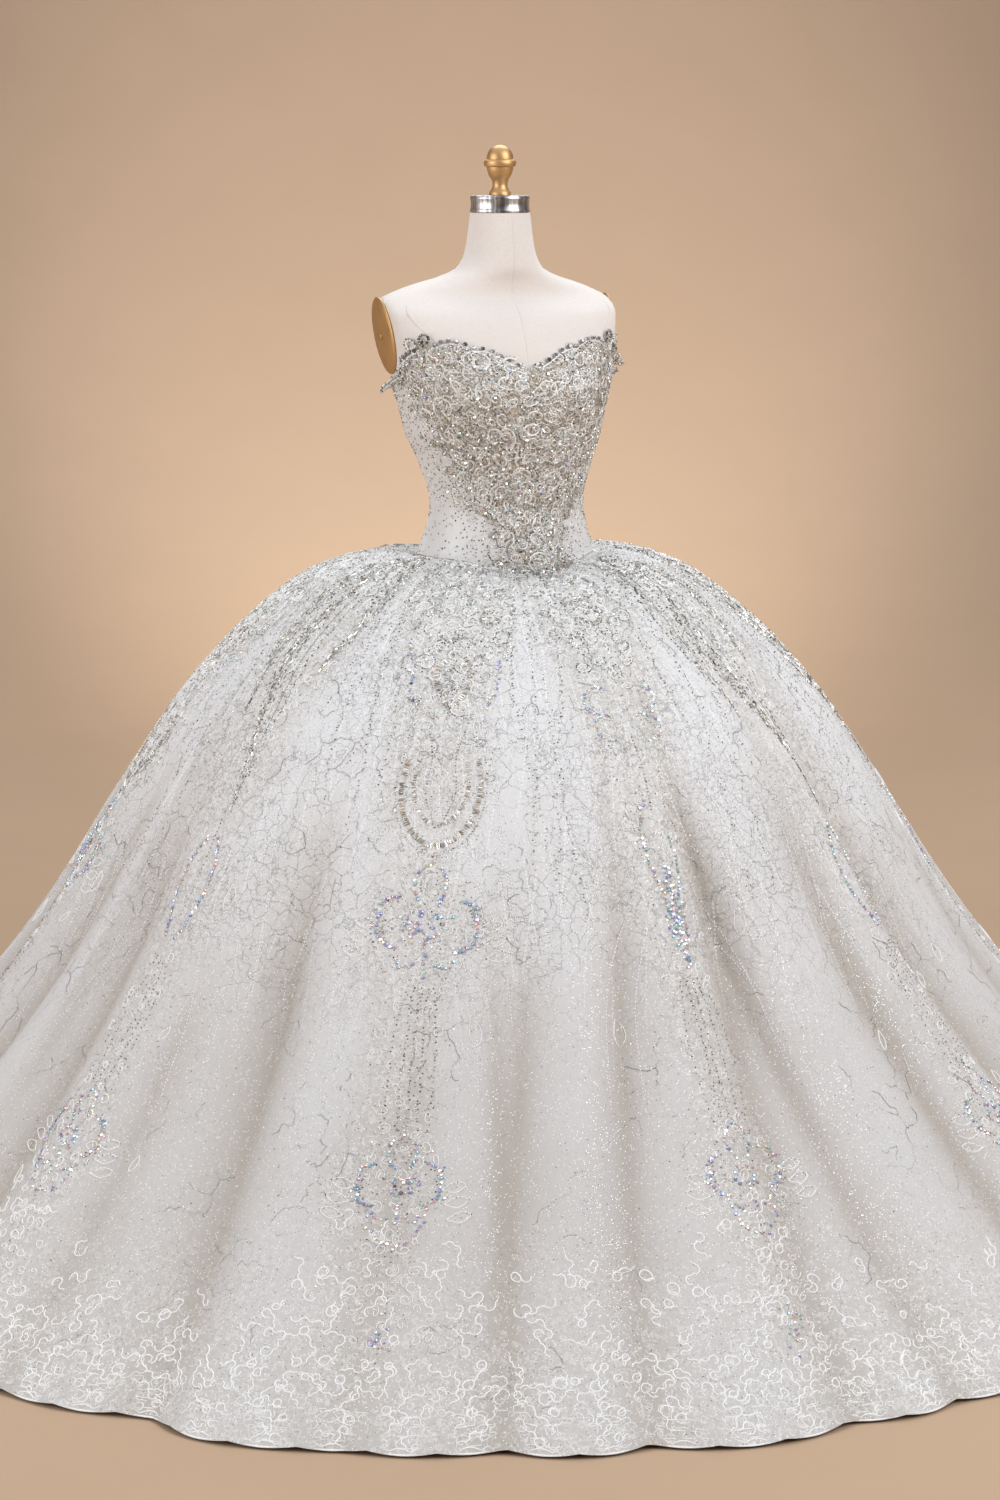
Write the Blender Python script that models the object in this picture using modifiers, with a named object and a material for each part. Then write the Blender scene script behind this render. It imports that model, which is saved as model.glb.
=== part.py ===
"""A strapless ball gown on a limbless dress form.

The gown is built from its cut pieces: seven bodice panels with raised beaded
applique, seven skirt gores with hand-placed folds and waist gathers, and seven
lengths of scalloped hem lace. The form is a padded torso with a neck cap, a
turned finial, two arm plates, a pole and a round base.

Metres, +Z up. The gown faces -Y and the wearer's left is +X. The origin is on
the floor under the pole. Angles round the gown are in degrees from the centre
front, growing towards the wearer's left.
"""
import math
from collections import namedtuple

import bmesh
import bpy
import numpy as np
from mathutils import Matrix, Vector

# Driving dimensions of the gown
WAIST_Z = 1.067
SEAM_GAP = 0.0003
WAIST_SEAM_DROP = 0.0011
FORM_GAP = 0.0009
CUP_EASE = 0.0026
CUP_EASE_SPREAD = 0.085
BODICE_WALL = 0.0022
SKIRT_WALL = 0.0024
LACE_WALL = 0.0020
HEM_RADIUS = 1.218
HEM_Z = 0.004
LACE_TOP_Z = 0.145

# Counts
TORSO_SIDES = 40
SKIRT_STEP = 2.0
LACE_STEP = 1.5
SCALLOPS = 80
GATHERS = 45
GATHER_HEIGHT = 0.0065
MOTIF_COLUMNS = 11
BODICE_ROWS = 12

# Raised beadwork
APPLIQUE_BASE = 0.0012
APPLIQUE_SCROLL = 0.0024
APPLIQUE_RADIUS = 0.155
MOTIF_RELIEF = 0.0020
SCROLL_WIDTH = 0.030
SCROLL_HEIGHT = 0.046
SCALLOP_DEPTH = 0.008

# The form and its stand
ARM_PLATE_Z = 1.415
ARM_PLATE_X = 0.187
ARM_PLATE_Y = 0.030
ARM_PLATE_LEAN = 0.19
ARM_PLATE_HALF_WIDTH = 0.043
ARM_PLATE_HALF_HEIGHT = 0.0625
ARM_PLATE_RISE = 0.0065
ARM_CUT_FROM_Z = 1.340
TORSO_BOTTOM_Z = 0.880
NECK_TOP_Z = 1.608
CAP_HEIGHT = 0.027
POLE_RADIUS = 0.0175
BASE_RADIUS = 0.200
BASE_HEIGHT = 0.024

# Bust of the general figure
BUST_Z = 1.322
BUST_X = 0.080
BUST_OUT = 0.013
BUST_SPREAD_X = 0.050
BUST_SPREAD_Z = 0.050

Section = namedtuple("Section", "z half_width side_y front_y back_y square")
TORSO_SECTIONS = [
    Section(TORSO_BOTTOM_Z, 0.166, 0.000, -0.132, 0.118, 2.3),
    Section(0.960, 0.172, 0.000, -0.140, 0.122, 2.3),
    Section(1.020, 0.158, -0.010, -0.139, 0.104, 2.2),
    Section(1.070, 0.141, -0.022, -0.134, 0.080, 2.2),
    Section(1.148, 0.1235, -0.025, -0.124, 0.062, 2.1),
    Section(1.213, 0.140, -0.020, -0.128, 0.072, 2.1),
    Section(1.265, 0.159, -0.010, -0.133, 0.084, 2.1),
    Section(1.323, 0.170, 0.000, -0.131, 0.095, 2.2),
    Section(1.370, 0.186, 0.014, -0.117, 0.100, 2.4),
    Section(1.410, 0.203, 0.024, -0.102, 0.100, 2.4),
    Section(1.450, 0.211, 0.030, -0.080, 0.096, 2.4),
    Section(1.471, 0.197, 0.030, -0.058, 0.088, 2.3),
    Section(1.484, 0.172, 0.027, -0.050, 0.079, 2.2),
    Section(1.496, 0.139, 0.020, -0.050, 0.071, 2.1),
    Section(1.507, 0.101, 0.011, -0.053, 0.063, 2.0),
    Section(1.521, 0.071, 0.004, -0.058, 0.058, 2.0),
    Section(1.548, 0.0565, 0.000, -0.056, 0.056, 2.0),
    Section(NECK_TOP_Z, 0.0480, 0.000, -0.048, 0.048, 2.0),
]
TORSO_ROWS = [TORSO_BOTTOM_Z, 0.960, 1.015, 1.045, 1.070, 1.095, 1.117, 1.137, 1.157, 1.177, 1.200,
              1.230, 1.262, 1.292, 1.320, 1.345, 1.372, 1.405, 1.440, 1.466, 1.480, 1.493,
              1.505, 1.520, 1.550, NECK_TOP_Z]

Edge = namedtuple("Edge", "angle z")
NECKLINE = [
    Edge(0, 1.366), Edge(8, 1.374), Edge(18, 1.392), Edge(28, 1.401), Edge(40, 1.403),
    Edge(52, 1.398), Edge(66, 1.380), Edge(80, 1.352), Edge(100, 1.341), Edge(140, 1.336),
    Edge(180, 1.334),
]
BASQUE = [
    Edge(0, 1.028), Edge(6, 1.034), Edge(16, 1.046), Edge(32, 1.058), Edge(55, 1.066),
    Edge(90, 1.066), Edge(130, 1.050), Edge(180, 1.037),
]

Ring = namedtuple("Ring", "radius z")
SKIRT_PROFILE = [
    Ring(0.130, WAIST_Z), Ring(0.144, 1.063), Ring(0.172, 1.066), Ring(0.240, 1.056),
    Ring(0.306, 1.033), Ring(0.413, 0.955), Ring(0.514, 0.850), Ring(0.623, 0.700),
    Ring(0.757, 0.500), Ring(1.058, LACE_TOP_Z), Ring(HEM_RADIUS, HEM_Z),
]
SKIRT_ROWS = len(SKIRT_PROFILE) - 1

# Each fold is a valley: where it lies at the hem, how deep it is there, how far its two
# sides reach, the height it starts from, and how far it leans on its way down.
Fold = namedtuple("Fold", "angle depth reach_r reach_l start_z lean")
FOLDS = [
    Fold(-176, 0.030, 4.5, 6.0, 0.95, 3), Fold(-161, 0.022, 5.0, 3.5, 0.80, -2),
    Fold(-147, 0.034, 3.5, 6.5, 1.00, 2), Fold(-131, 0.024, 6.0, 4.0, 0.70, -3),
    Fold(-117, 0.036, 4.0, 5.5, 1.00, 2), Fold(-102, 0.022, 5.0, 5.0, 0.85, 3),
    Fold(-87, 0.030, 6.0, 3.0, 0.90, -2), Fold(-71, 0.034, 5.5, 3.0, 0.90, 3),
    Fold(-59, 0.018, 4.0, 4.5, 0.60, 0), Fold(-47, 0.046, 6.0, 2.6, 0.85, 1),
    Fold(-33, 0.014, 4.0, 4.0, 0.55, -2), Fold(-23, 0.028, 4.0, 3.5, 0.65, -3),
    Fold(-13, 0.018, 3.0, 3.0, 0.80, -5), Fold(1, 0.030, 3.0, 3.5, 0.85, -4),
    Fold(9, 0.024, 2.6, 4.5, 1.04, 7), Fold(24, 0.026, 4.5, 4.0, 0.90, 3),
    Fold(37, 0.034, 3.0, 6.0, 1.00, 4), Fold(51, 0.022, 5.0, 4.0, 0.75, -2),
    Fold(64, 0.032, 3.0, 5.5, 0.95, 3), Fold(79, 0.024, 5.0, 5.0, 0.85, -2),
    Fold(93, 0.034, 4.0, 6.0, 1.00, 2), Fold(108, 0.022, 6.0, 4.0, 0.70, -3),
    Fold(122, 0.036, 4.0, 5.0, 0.95, 2), Fold(137, 0.024, 5.0, 4.0, 0.85, 3),
    Fold(152, 0.032, 4.0, 6.0, 0.95, -2), Fold(167, 0.022, 5.0, 4.0, 0.75, 2),
]

# Where the beadwork of one motif column lies on the skirt, and how wide it is there
MotifBand = namedtuple("MotifBand", "top_z bottom_z half_width")
MOTIF_BANDS = [
    MotifBand(1.00, 0.72, 0.055), MotifBand(0.66, 0.54, 0.050), MotifBand(0.36, 0.24, 0.050),
]

# How far round from the centre front the bodice's applique reaches at each height
Reach = namedtuple("Reach", "z angle")
APPLIQUE_REACH = [
    Reach(1.02, 12), Reach(1.10, 17), Reach(1.17, 27), Reach(1.25, 48), Reach(1.33, 78),
    Reach(1.41, 88),
]

Panel = namedtuple("Panel", "name start end columns")
BODICE_PANELS = [
    Panel("bodice_front", -38, 38, 20),
    Panel("bodice_side_front_L", 38, 90, 12),
    Panel("bodice_side_back_L", 90, 136, 6),
    Panel("bodice_back_L", 136, 180, 5),
    Panel("bodice_side_front_R", -90, -38, 12),
    Panel("bodice_side_back_R", -136, -90, 6),
    Panel("bodice_back_R", -180, -136, 5),
]
Gore = namedtuple("Gore", "suffix start end")
GORES = [
    Gore("front", -30, 30), Gore("side_front_L", 30, 84), Gore("side_back_L", 84, 138),
    Gore("back_L", 138, 180), Gore("side_front_R", -84, -30),
    Gore("side_back_R", -138, -84), Gore("back_R", -180, -138),
]
ZIP_HALF_ANGLE = 1.4
ZIP_WALL = 0.0014

# Turned profiles, each from the top down its outer side
FINIAL_PROFILE = [
    (0.0000, 0.0790), (0.0105, 0.0765), (0.0185, 0.0690), (0.0213, 0.0590), (0.0215, 0.0555),
    (0.0256, 0.0520), (0.0256, 0.0475), (0.0212, 0.0440), (0.0200, 0.0370), (0.0136, 0.0245),
    (0.0118, 0.0170), (0.0130, 0.0105), (0.0176, 0.0045), (0.0176, 0.0000), (0.0000, 0.0000),
]
CAP_PROFILE = [
    (0.0000, CAP_HEIGHT), (0.0440, CAP_HEIGHT), (0.0466, 0.0262), (0.0476, 0.0240), (0.0480, 0.0010),
    (0.0474, 0.0000), (0.0000, 0.0000),
]
BASE_PROFILE = [
    (0.0000, BASE_HEIGHT), (0.0300, BASE_HEIGHT), (0.1300, 0.0185), (0.1900, 0.0110),
    (BASE_RADIUS, 0.0050), (0.1985, 0.0000), (0.0000, 0.0000),
]

# Beaded scrolls that stand above the neckline, one on each side
SCROLL_ANGLE = 49.0
SCROLL_RADIUS = 0.0105
SCROLL_BEAD = 0.0026
SCROLL_POINTS = 15
SCROLL_TURN = 1.15


def smooth(xs, ys, x):
    """Monotone cubic through a table, read at x (a number or an array)."""
    xs = np.asarray(xs, float)
    ys = np.asarray(ys, float)
    step = np.diff(xs)
    slope = np.diff(ys) / step
    tangent = np.zeros(len(xs))
    for i in range(1, len(xs) - 1):
        if slope[i - 1] * slope[i] > 0:
            before = 2 * step[i] + step[i - 1]
            after = step[i] + 2 * step[i - 1]
            tangent[i] = (before + after) / (before / slope[i - 1] + after / slope[i])
    tangent[0] = slope[0]
    tangent[-1] = slope[-1]
    x = np.clip(x, xs[0], xs[-1])
    i = np.clip(np.searchsorted(xs, x) - 1, 0, len(xs) - 2)
    t = (x - xs[i]) / step[i]
    rise = ys[i] * (1 + 2 * t) * (1 - t) ** 2 + ys[i + 1] * t * t * (3 - 2 * t)
    return rise + step[i] * (tangent[i] * t * (1 - t) ** 2 - tangent[i + 1] * t * t * (1 - t))


def step_between(low, high, x):
    """0 below low, 1 above high and a soft step between them."""
    t = np.clip((x - low) / (high - low), 0.0, 1.0)
    return t * t * (3 - 2 * t)


def unit(vectors):
    return vectors / np.linalg.norm(vectors, axis=-1, keepdims=True)


# The torso


def torso_point(angle, z):
    """A point of the torso's skin at an angle in degrees and a height."""
    table_z = [s.z for s in TORSO_SECTIONS]
    width, side, front, back, square = (
        smooth(table_z, [getattr(s, name) for s in TORSO_SECTIONS], z)
        for name in ("half_width", "side_y", "front_y", "back_y", "square"))
    sine = np.sin(np.radians(angle))
    cosine = np.cos(np.radians(angle))
    x = width * np.sign(sine) * np.abs(sine) ** (2 / square)
    depth = np.where(cosine > 0, front - side, back - side) * np.abs(cosine) ** (2 / square)
    y = side + depth
    lobe = np.exp(-((np.abs(x) - BUST_X) / BUST_SPREAD_X) ** 2 - ((z - BUST_Z) / BUST_SPREAD_Z) ** 2)
    y = y - BUST_OUT * lobe * step_between(0.0, 0.5, cosine)
    arm_plane = ARM_PLATE_X + ARM_PLATE_LEAN * (z - ARM_PLATE_Z)
    limit = np.where(z >= ARM_CUT_FROM_Z, arm_plane, 1.0)
    x = np.clip(x, -limit, limit)
    return np.stack([x, y, z + 0.0 * x], axis=-1)


def torso_frame(angle, z):
    """Skin point, outward normal and sideways tangent, from small differences."""
    turn = 0.8
    rise = 0.002
    point = torso_point(angle, z)
    sideways = unit(torso_point(angle + turn, z) - torso_point(angle - turn, z))
    upward = unit(torso_point(angle, z + rise) - torso_point(angle, z - rise))
    normal = unit(np.cross(sideways, upward))
    return point, normal, sideways


# The bodice


def ease(z):
    """Room between the form and the bodice, which is widest at the cups."""
    return FORM_GAP + CUP_EASE * np.exp(-((z - BUST_Z) / CUP_EASE_SPREAD) ** 2)


def mirror_edge(table, angle):
    return smooth([e.angle for e in table], [e.z for e in table], np.abs(angle))


def applique_relief(angle, z):
    """How far the beaded applique stands out: a V from the bust to the basque point."""
    reach = smooth([r.z for r in APPLIQUE_REACH], [r.angle for r in APPLIQUE_REACH], z)
    inside = 1 - step_between(0.80, 1.05, np.abs(angle) / reach)
    across = np.radians(np.abs(angle)) * APPLIQUE_RADIUS / SCROLL_WIDTH
    along = z / SCROLL_HEIGHT
    scroll = np.abs(np.sin(math.pi * (across + 0.45 * np.sin(2 * math.pi * along))))
    cross = np.abs(np.sin(math.pi * (along + 0.35 * np.sin(2 * math.pi * across))))
    return inside * (APPLIQUE_BASE + APPLIQUE_SCROLL * np.maximum(scroll, cross) ** 2)


def bodice_grids(angles, rows):
    """Outer and inner points of the bodice for a set of angles, row by row upward."""
    share = np.linspace(0, 1, rows + 1)[:, None]
    angle = np.asarray(angles, float)[None, :] + 0 * share
    bottom = mirror_edge(BASQUE, angle)
    top = mirror_edge(NECKLINE, angle)
    z = bottom + (top - bottom) * share
    point, normal, sideways = torso_frame(angle, z)
    fade = step_between(0.0, 0.06, share) * step_between(1.0, 0.97, share)
    raised = applique_relief(angle, z) * fade
    outer = point + normal * (ease(z) + BODICE_WALL + raised)[..., None]
    inner = point + normal * ease(z)[..., None]
    return outer, inner, sideways


# The skirt


def waist_ring():
    """Polar radius and height of the waist seam for every whole degree round the gown."""
    angle = np.arange(-180.0, 180.0, 1.0)
    z = mirror_edge(BASQUE, angle) - WAIST_SEAM_DROP
    point, normal, _ = torso_frame(angle, z)
    middle = point + normal * (FORM_GAP + SKIRT_WALL / 2)
    polar = np.degrees(np.arctan2(middle[:, 0], -middle[:, 1]))
    order = np.argsort(polar)
    return polar[order], np.hypot(middle[:, 0], middle[:, 1])[order], z[order]


WAIST_POLAR, WAIST_RADIUS, WAIST_HEIGHT = waist_ring()


def profile_at(along):
    """Radius and height of the plain skirt, with along counted in profile rows."""
    rows = np.arange(len(SKIRT_PROFILE))
    radius = smooth(rows, [r.radius for r in SKIRT_PROFILE], along)
    height = smooth(rows, [r.z for r in SKIRT_PROFILE], along)
    return radius, height


def fold_depth(angle, z):
    """Depth of all folds at a place on the skirt, as a positive inward distance."""
    total = 0.0 * angle
    for fold in FOLDS:
        down = 1 - z / fold.start_z
        grown = step_between(0.0, 0.55, down)
        centre = fold.angle - fold.lean * (1 - step_between(0.0, 1.0, down))
        apart = (angle - centre + 180) % 360 - 180
        reach = np.where(apart < 0, fold.reach_r, fold.reach_l)
        total = total + fold.depth * grown * np.exp(-((apart / reach) ** 2))
    return total


def gather_height(angle, along):
    """Small pleat heads at the waist that run out over the dome."""
    phase = GATHERS * angle / 360
    uneven = 0.75 + 0.25 * np.sin(math.radians(7.0) * angle + 1.3)
    wave = 0.5 - 0.5 * np.cos(2 * math.pi * phase + 0.8 * np.sin(math.radians(5.0) * angle))
    fade = step_between(0.4, 2.0, along) * (1 - step_between(2.5, 6.0, along))
    return GATHER_HEIGHT * uneven * wave * fade


def motif_relief(angle, z, radius):
    """How far the beaded motif columns stand out of the skirt."""
    spacing = 360 / MOTIF_COLUMNS
    apart = (angle + spacing / 2) % spacing - spacing / 2
    sideways = np.abs(np.radians(apart)) * radius
    total = 0.0 * angle
    for band in MOTIF_BANDS:
        inside = step_between(band.bottom_z - 0.03, band.bottom_z + 0.02, z)
        inside = inside * (1 - step_between(band.top_z - 0.02, band.top_z + 0.03, z))
        total = total + inside * (1 - step_between(0.6, 1.2, sideways / band.half_width))
    return MOTIF_RELIEF * total


def skirt_frame(angle, along):
    """Middle of the skirt's wall and its outward direction in the plane of the angle."""
    base_radius, base_z = profile_at(along)
    fade = 1 - step_between(0.0, 5.0, along)
    ring_radius = np.interp(angle, WAIST_POLAR, WAIST_RADIUS, period=360)
    ring_z = np.interp(angle, WAIST_POLAR, WAIST_HEIGHT, period=360)
    radius = base_radius + (ring_radius - SKIRT_PROFILE[0].radius) * fade
    z = base_z + (ring_z - SKIRT_PROFILE[0].z) * fade
    small = 0.02
    radius_on, z_on = profile_at(along + small)
    radius_off, z_off = profile_at(along - small)
    slope = np.stack([-(z_on - z_off), radius_on - radius_off], axis=-1)
    slope = unit(slope)
    level = step_between(SKIRT_ROWS - 3.0, SKIRT_ROWS - 1.0, along)
    out_r = slope[..., 0] * (1 - level) + level
    out_z = slope[..., 1] * (1 - level)
    start = 1 - step_between(0.0, 1.0, along)
    out_r = out_r * (1 - start) + start
    out_z = out_z * (1 - start)
    push = gather_height(angle, along) - fold_depth(angle, z) * step_between(0.0, 4.0, along)
    return radius + push * out_r, z + push * out_z, out_r, out_z


def place(angle, radius, z):
    turn = np.radians(angle)
    return np.stack([radius * np.sin(turn), -radius * np.cos(turn), z], axis=-1)


def skirt_grids(angles, rows, wall):
    """Outer and inner points for a set of angles and profile rows, from the hem upward."""
    along = np.asarray(rows, float)[::-1][:, None]
    angle = np.asarray(angles, float)[None, :] + 0 * along
    along = along + 0 * angle
    radius, z, out_r, out_z = skirt_frame(angle, along)
    outer_push = wall / 2 + motif_relief(angle, z, radius)
    outer = place(angle, radius + outer_push * out_r, z + outer_push * out_z)
    inner = place(angle, radius - wall / 2 * out_r, z - wall / 2 * out_z)
    turn = np.radians(angle)
    sideways = np.stack([np.cos(turn), np.sin(turn), 0 * turn], axis=-1)
    return outer, inner, sideways


# Mesh builders


def material(name, colour, roughness, metallic=0.0):
    made = bpy.data.materials.new(name)
    made.use_nodes = True
    shader = made.node_tree.nodes["Principled BSDF"]
    shader.inputs["Base Color"].default_value = (*colour, 1.0)
    shader.inputs["Roughness"].default_value = roughness
    shader.inputs["Metallic"].default_value = metallic
    return made


def add_object(name, mesh, finish, smooth_angle=40.0):
    obj = bpy.data.objects.new(name, mesh)
    mesh.materials.append(finish)
    mesh.shade_smooth()
    mesh.set_sharp_from_angle(angle=math.radians(smooth_angle))
    PARTS.objects.link(obj)
    return obj


def open_seams(outer, inner, sideways, gap=SEAM_GAP / 2):
    """Draw the first and last column in by half a seam gap."""
    for grid in (outer, inner):
        grid[:, 0] += sideways[:, 0] * gap
        grid[:, -1] -= sideways[:, -1] * gap
    return outer, inner


def wall_mesh(name, outer, inner):
    """A closed wall between two grids of points, rows upward and columns to +angle."""
    made = bmesh.new()
    rows, columns = outer.shape[:2]
    out = [[made.verts.new(p) for p in row] for row in outer]
    into = [[made.verts.new(p) for p in row] for row in inner]
    for i in range(rows - 1):
        for j in range(columns - 1):
            made.faces.new((out[i][j], out[i][j + 1], out[i + 1][j + 1], out[i + 1][j]))
            made.faces.new((into[i][j], into[i + 1][j], into[i + 1][j + 1], into[i][j + 1]))
        made.faces.new((out[i][0], out[i + 1][0], into[i + 1][0], into[i][0]))
        made.faces.new((out[i][-1], into[i][-1], into[i + 1][-1], out[i + 1][-1]))
    for j in range(columns - 1):
        made.faces.new((into[0][j], into[0][j + 1], out[0][j + 1], out[0][j]))
        made.faces.new((out[-1][j], out[-1][j + 1], into[-1][j + 1], into[-1][j]))
    bmesh.ops.triangulate(made, faces=made.faces[:], quad_method="FIXED")
    mesh = bpy.data.meshes.new(name)
    made.to_mesh(mesh)
    made.free()
    return mesh


def turned(name, profile, base_z, finish, steps=26):
    """A turned solid: a profile at +X, outer side top to bottom, with a Screw modifier."""
    mesh = bpy.data.meshes.new(name)
    points = [(radius, 0.0, base_z + z) for radius, z in profile]
    edges = [(i, i + 1) for i in range(len(points) - 1)]
    mesh.from_pydata(points, edges, [])
    obj = add_object(name, mesh, finish, 35.0)
    screw = obj.modifiers.new("Turn", "SCREW")
    screw.axis = "Z"
    screw.steps = steps
    screw.render_steps = steps
    screw.use_merge_vertices = True
    screw.merge_threshold = 0.00005
    screw.use_smooth_shade = True
    return obj


# Sub-parts


def build_torso(linen):
    angle = np.arange(TORSO_SIDES) * 360.0 / TORSO_SIDES
    made = bmesh.new()
    rings = [[made.verts.new(p) for p in torso_point(angle, np.full(TORSO_SIDES, z))]
             for z in TORSO_ROWS]
    for low, high in zip(rings, rings[1:]):
        for j in range(TORSO_SIDES):
            k = (j + 1) % TORSO_SIDES
            made.faces.new((low[j], low[k], high[k], high[j]))
    made.faces.new(rings[0][::-1])
    made.faces.new(rings[-1])
    bmesh.ops.triangulate(made, faces=made.faces[:], quad_method="FIXED")
    mesh = bpy.data.meshes.new("form_torso")
    made.to_mesh(mesh)
    made.free()
    return add_object("form_torso", mesh, linen)


def build_arm_plate(name, side, brass):
    """A domed oval plate, turned round and stretched, lying on the torso's cut arm."""
    rise = ARM_PLATE_RISE
    profile = [(0.0, rise), (0.45, rise * 0.94), (0.80, rise * 0.68),
               (0.97, rise * 0.28), (1.0, 0.0), (0.0, 0.0)]
    obj = turned(name, profile, 0.0, brass, steps=22)
    lean = math.atan(ARM_PLATE_LEAN)
    outward = Vector((side * math.cos(lean), 0.0, -math.sin(lean)))
    along = Vector((side * math.sin(lean), 0.0, math.cos(lean)))
    across = along.cross(outward)
    centre = Vector((side * ARM_PLATE_X, ARM_PLATE_Y, ARM_PLATE_Z)) + outward * SEAM_GAP
    shape = Matrix((across * ARM_PLATE_HALF_WIDTH, along * ARM_PLATE_HALF_HEIGHT, outward))
    obj.matrix_world = Matrix.Translation(centre) @ shape.transposed().to_4x4()
    return obj


def build_stand(iron):
    turned("form_base", BASE_PROFILE, 0.0, iron, steps=36)
    low = BASE_HEIGHT + SEAM_GAP
    high = TORSO_BOTTOM_Z - SEAM_GAP
    rod = [(0.0, high), (POLE_RADIUS, high), (POLE_RADIUS, low), (0.0, low)]
    turned("form_pole", rod, 0.0, iron, steps=20)


def build_bodice(beaded, plain):
    for panel in BODICE_PANELS:
        angles = np.linspace(panel.start, panel.end, panel.columns + 1)
        if panel.start == -180:
            angles[0] += ZIP_HALF_ANGLE
        if panel.end == 180:
            angles[-1] -= ZIP_HALF_ANGLE
        outer, inner, sideways = bodice_grids(angles, BODICE_ROWS)
        outer, inner = open_seams(outer, inner, sideways)
        finish = plain if "back" in panel.name else beaded
        add_object(panel.name, wall_mesh(panel.name, outer, inner), finish)


def build_zip(tape):
    """The closed concealed zip of the centre back, a narrow strip between two panels."""
    angles = np.array([180 - ZIP_HALF_ANGLE, 180.0, 180 + ZIP_HALF_ANGLE])
    share = np.linspace(0, 1, BODICE_ROWS + 1)[:, None]
    angle = angles[None, :] + 0 * share
    mirrored = 180 - np.abs(angle - 180)
    z = mirror_edge(BASQUE, mirrored) * (1 - share) + mirror_edge(NECKLINE, mirrored) * share
    point, normal, sideways = torso_frame(angle, z)
    outer = point + normal * (ease(z) + ZIP_WALL)[..., None]
    inner = point + normal * ease(z)[..., None]
    outer, inner = open_seams(outer, inner, sideways)
    add_object("zip_back", wall_mesh("zip_back", outer, inner), tape)


def build_neck_scroll(name, side, silver):
    """A beaded scroll that curls up from the neckline: a bevelled spiral curve."""
    angle = np.array([side * SCROLL_ANGLE])
    top = mirror_edge(NECKLINE, angle)
    point, normal, sideways = torso_frame(angle, top)
    foot = Vector(point[0] + normal[0] * (ease(top[0]) + BODICE_WALL / 2))
    across = Vector(sideways[0]) * side
    upward = Vector((0.0, 0.0, 1.0))
    centre = foot + upward * (SCROLL_RADIUS + SCROLL_BEAD + SEAM_GAP)
    curve = bpy.data.curves.new(name, "CURVE")
    curve.dimensions = "3D"
    curve.bevel_depth = SCROLL_BEAD
    curve.bevel_resolution = 2
    curve.use_fill_caps = True
    spline = curve.splines.new("POLY")
    spline.points.add(SCROLL_POINTS - 1)
    for i in range(SCROLL_POINTS):
        share = i / (SCROLL_POINTS - 1)
        turn = -math.pi / 2 - 0.25 + share * SCROLL_TURN * 2 * math.pi
        radius = SCROLL_RADIUS * (1 - 0.52 * share)
        place_at = centre + across * radius * math.cos(turn) + upward * radius * math.sin(turn)
        spline.points[i].co = (*place_at, 1.0)
    obj = bpy.data.objects.new(name, curve)
    curve.materials.append(silver)
    PARTS.objects.link(obj)
    return obj


def gore_angles(gore, step):
    count = round((gore.end - gore.start) / step)
    return np.linspace(gore.start, gore.end, count + 1)


def build_skirt(net):
    """Seven gores, each a wall from the waist seam to the top of the hem lace."""
    for gore in GORES:
        angles = gore_angles(gore, SKIRT_STEP)
        rows = np.arange(SKIRT_ROWS)
        outer, inner, sideways = skirt_grids(angles, rows, SKIRT_WALL)
        outer, inner = open_seams(outer, inner, sideways)
        name = "skirt_" + gore.suffix
        add_object(name, wall_mesh(name, outer, inner), net)


def build_hem_lace(lace):
    """Seven lengths of lace sewn edge to edge under the gores, scalloped at the floor."""
    for gore in GORES:
        angles = gore_angles(gore, LACE_STEP)
        rows = np.array([SKIRT_ROWS - 1, SKIRT_ROWS])
        outer, inner, sideways = skirt_grids(angles, rows, LACE_WALL)
        phase = SCALLOPS * np.radians(angles) / 2
        rise = SCALLOP_DEPTH * (1 - np.abs(np.sin(phase)))
        for grid in (outer, inner):
            grid[0, :, 2] += rise
            grid[-1, :, 2] -= SEAM_GAP
        outer, inner = open_seams(outer, inner, sideways)
        name = "hem_lace_" + gore.suffix
        add_object(name, wall_mesh(name, outer, inner), lace)


for old in list(bpy.data.objects):
    bpy.data.objects.remove(old, do_unlink=True)
PARTS = bpy.data.collections.new("ball_gown")
bpy.context.scene.collection.children.link(PARTS)

LINEN = material("linen", (0.80, 0.76, 0.72), 0.85)
CHROME = material("chrome", (0.62, 0.62, 0.63), 0.18, 1.0)
BRASS = material("brass", (0.68, 0.44, 0.18), 0.35, 1.0)
IRON = material("painted_iron", (0.05, 0.05, 0.055), 0.45, 0.6)
BEADED = material("beaded_applique", (0.55, 0.53, 0.50), 0.45, 0.2)
SATIN = material("white_satin", (0.78, 0.76, 0.73), 0.50)
NET = material("white_net", (0.80, 0.79, 0.77), 0.60)
LACE = material("hem_lace", (0.84, 0.82, 0.79), 0.70)
SILVER = material("silver_beads", (0.60, 0.60, 0.60), 0.25, 0.8)

build_torso(LINEN)
turned("form_neck_cap", CAP_PROFILE, NECK_TOP_Z + SEAM_GAP, CHROME)
turned("form_finial", FINIAL_PROFILE, NECK_TOP_Z + CAP_HEIGHT + 2 * SEAM_GAP, BRASS, steps=22)
build_arm_plate("form_arm_plate_L", 1, BRASS)
build_arm_plate("form_arm_plate_R", -1, BRASS)
build_stand(IRON)
build_bodice(BEADED, SATIN)
build_zip(SATIN)
build_neck_scroll("neck_scroll_L", 1, SILVER)
build_neck_scroll("neck_scroll_R", -1, SILVER)
build_skirt(NET)
build_hem_lace(LACE)
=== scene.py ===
import math
from collections import namedtuple

import bpy
import numpy as np
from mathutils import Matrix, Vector, geometry


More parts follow.
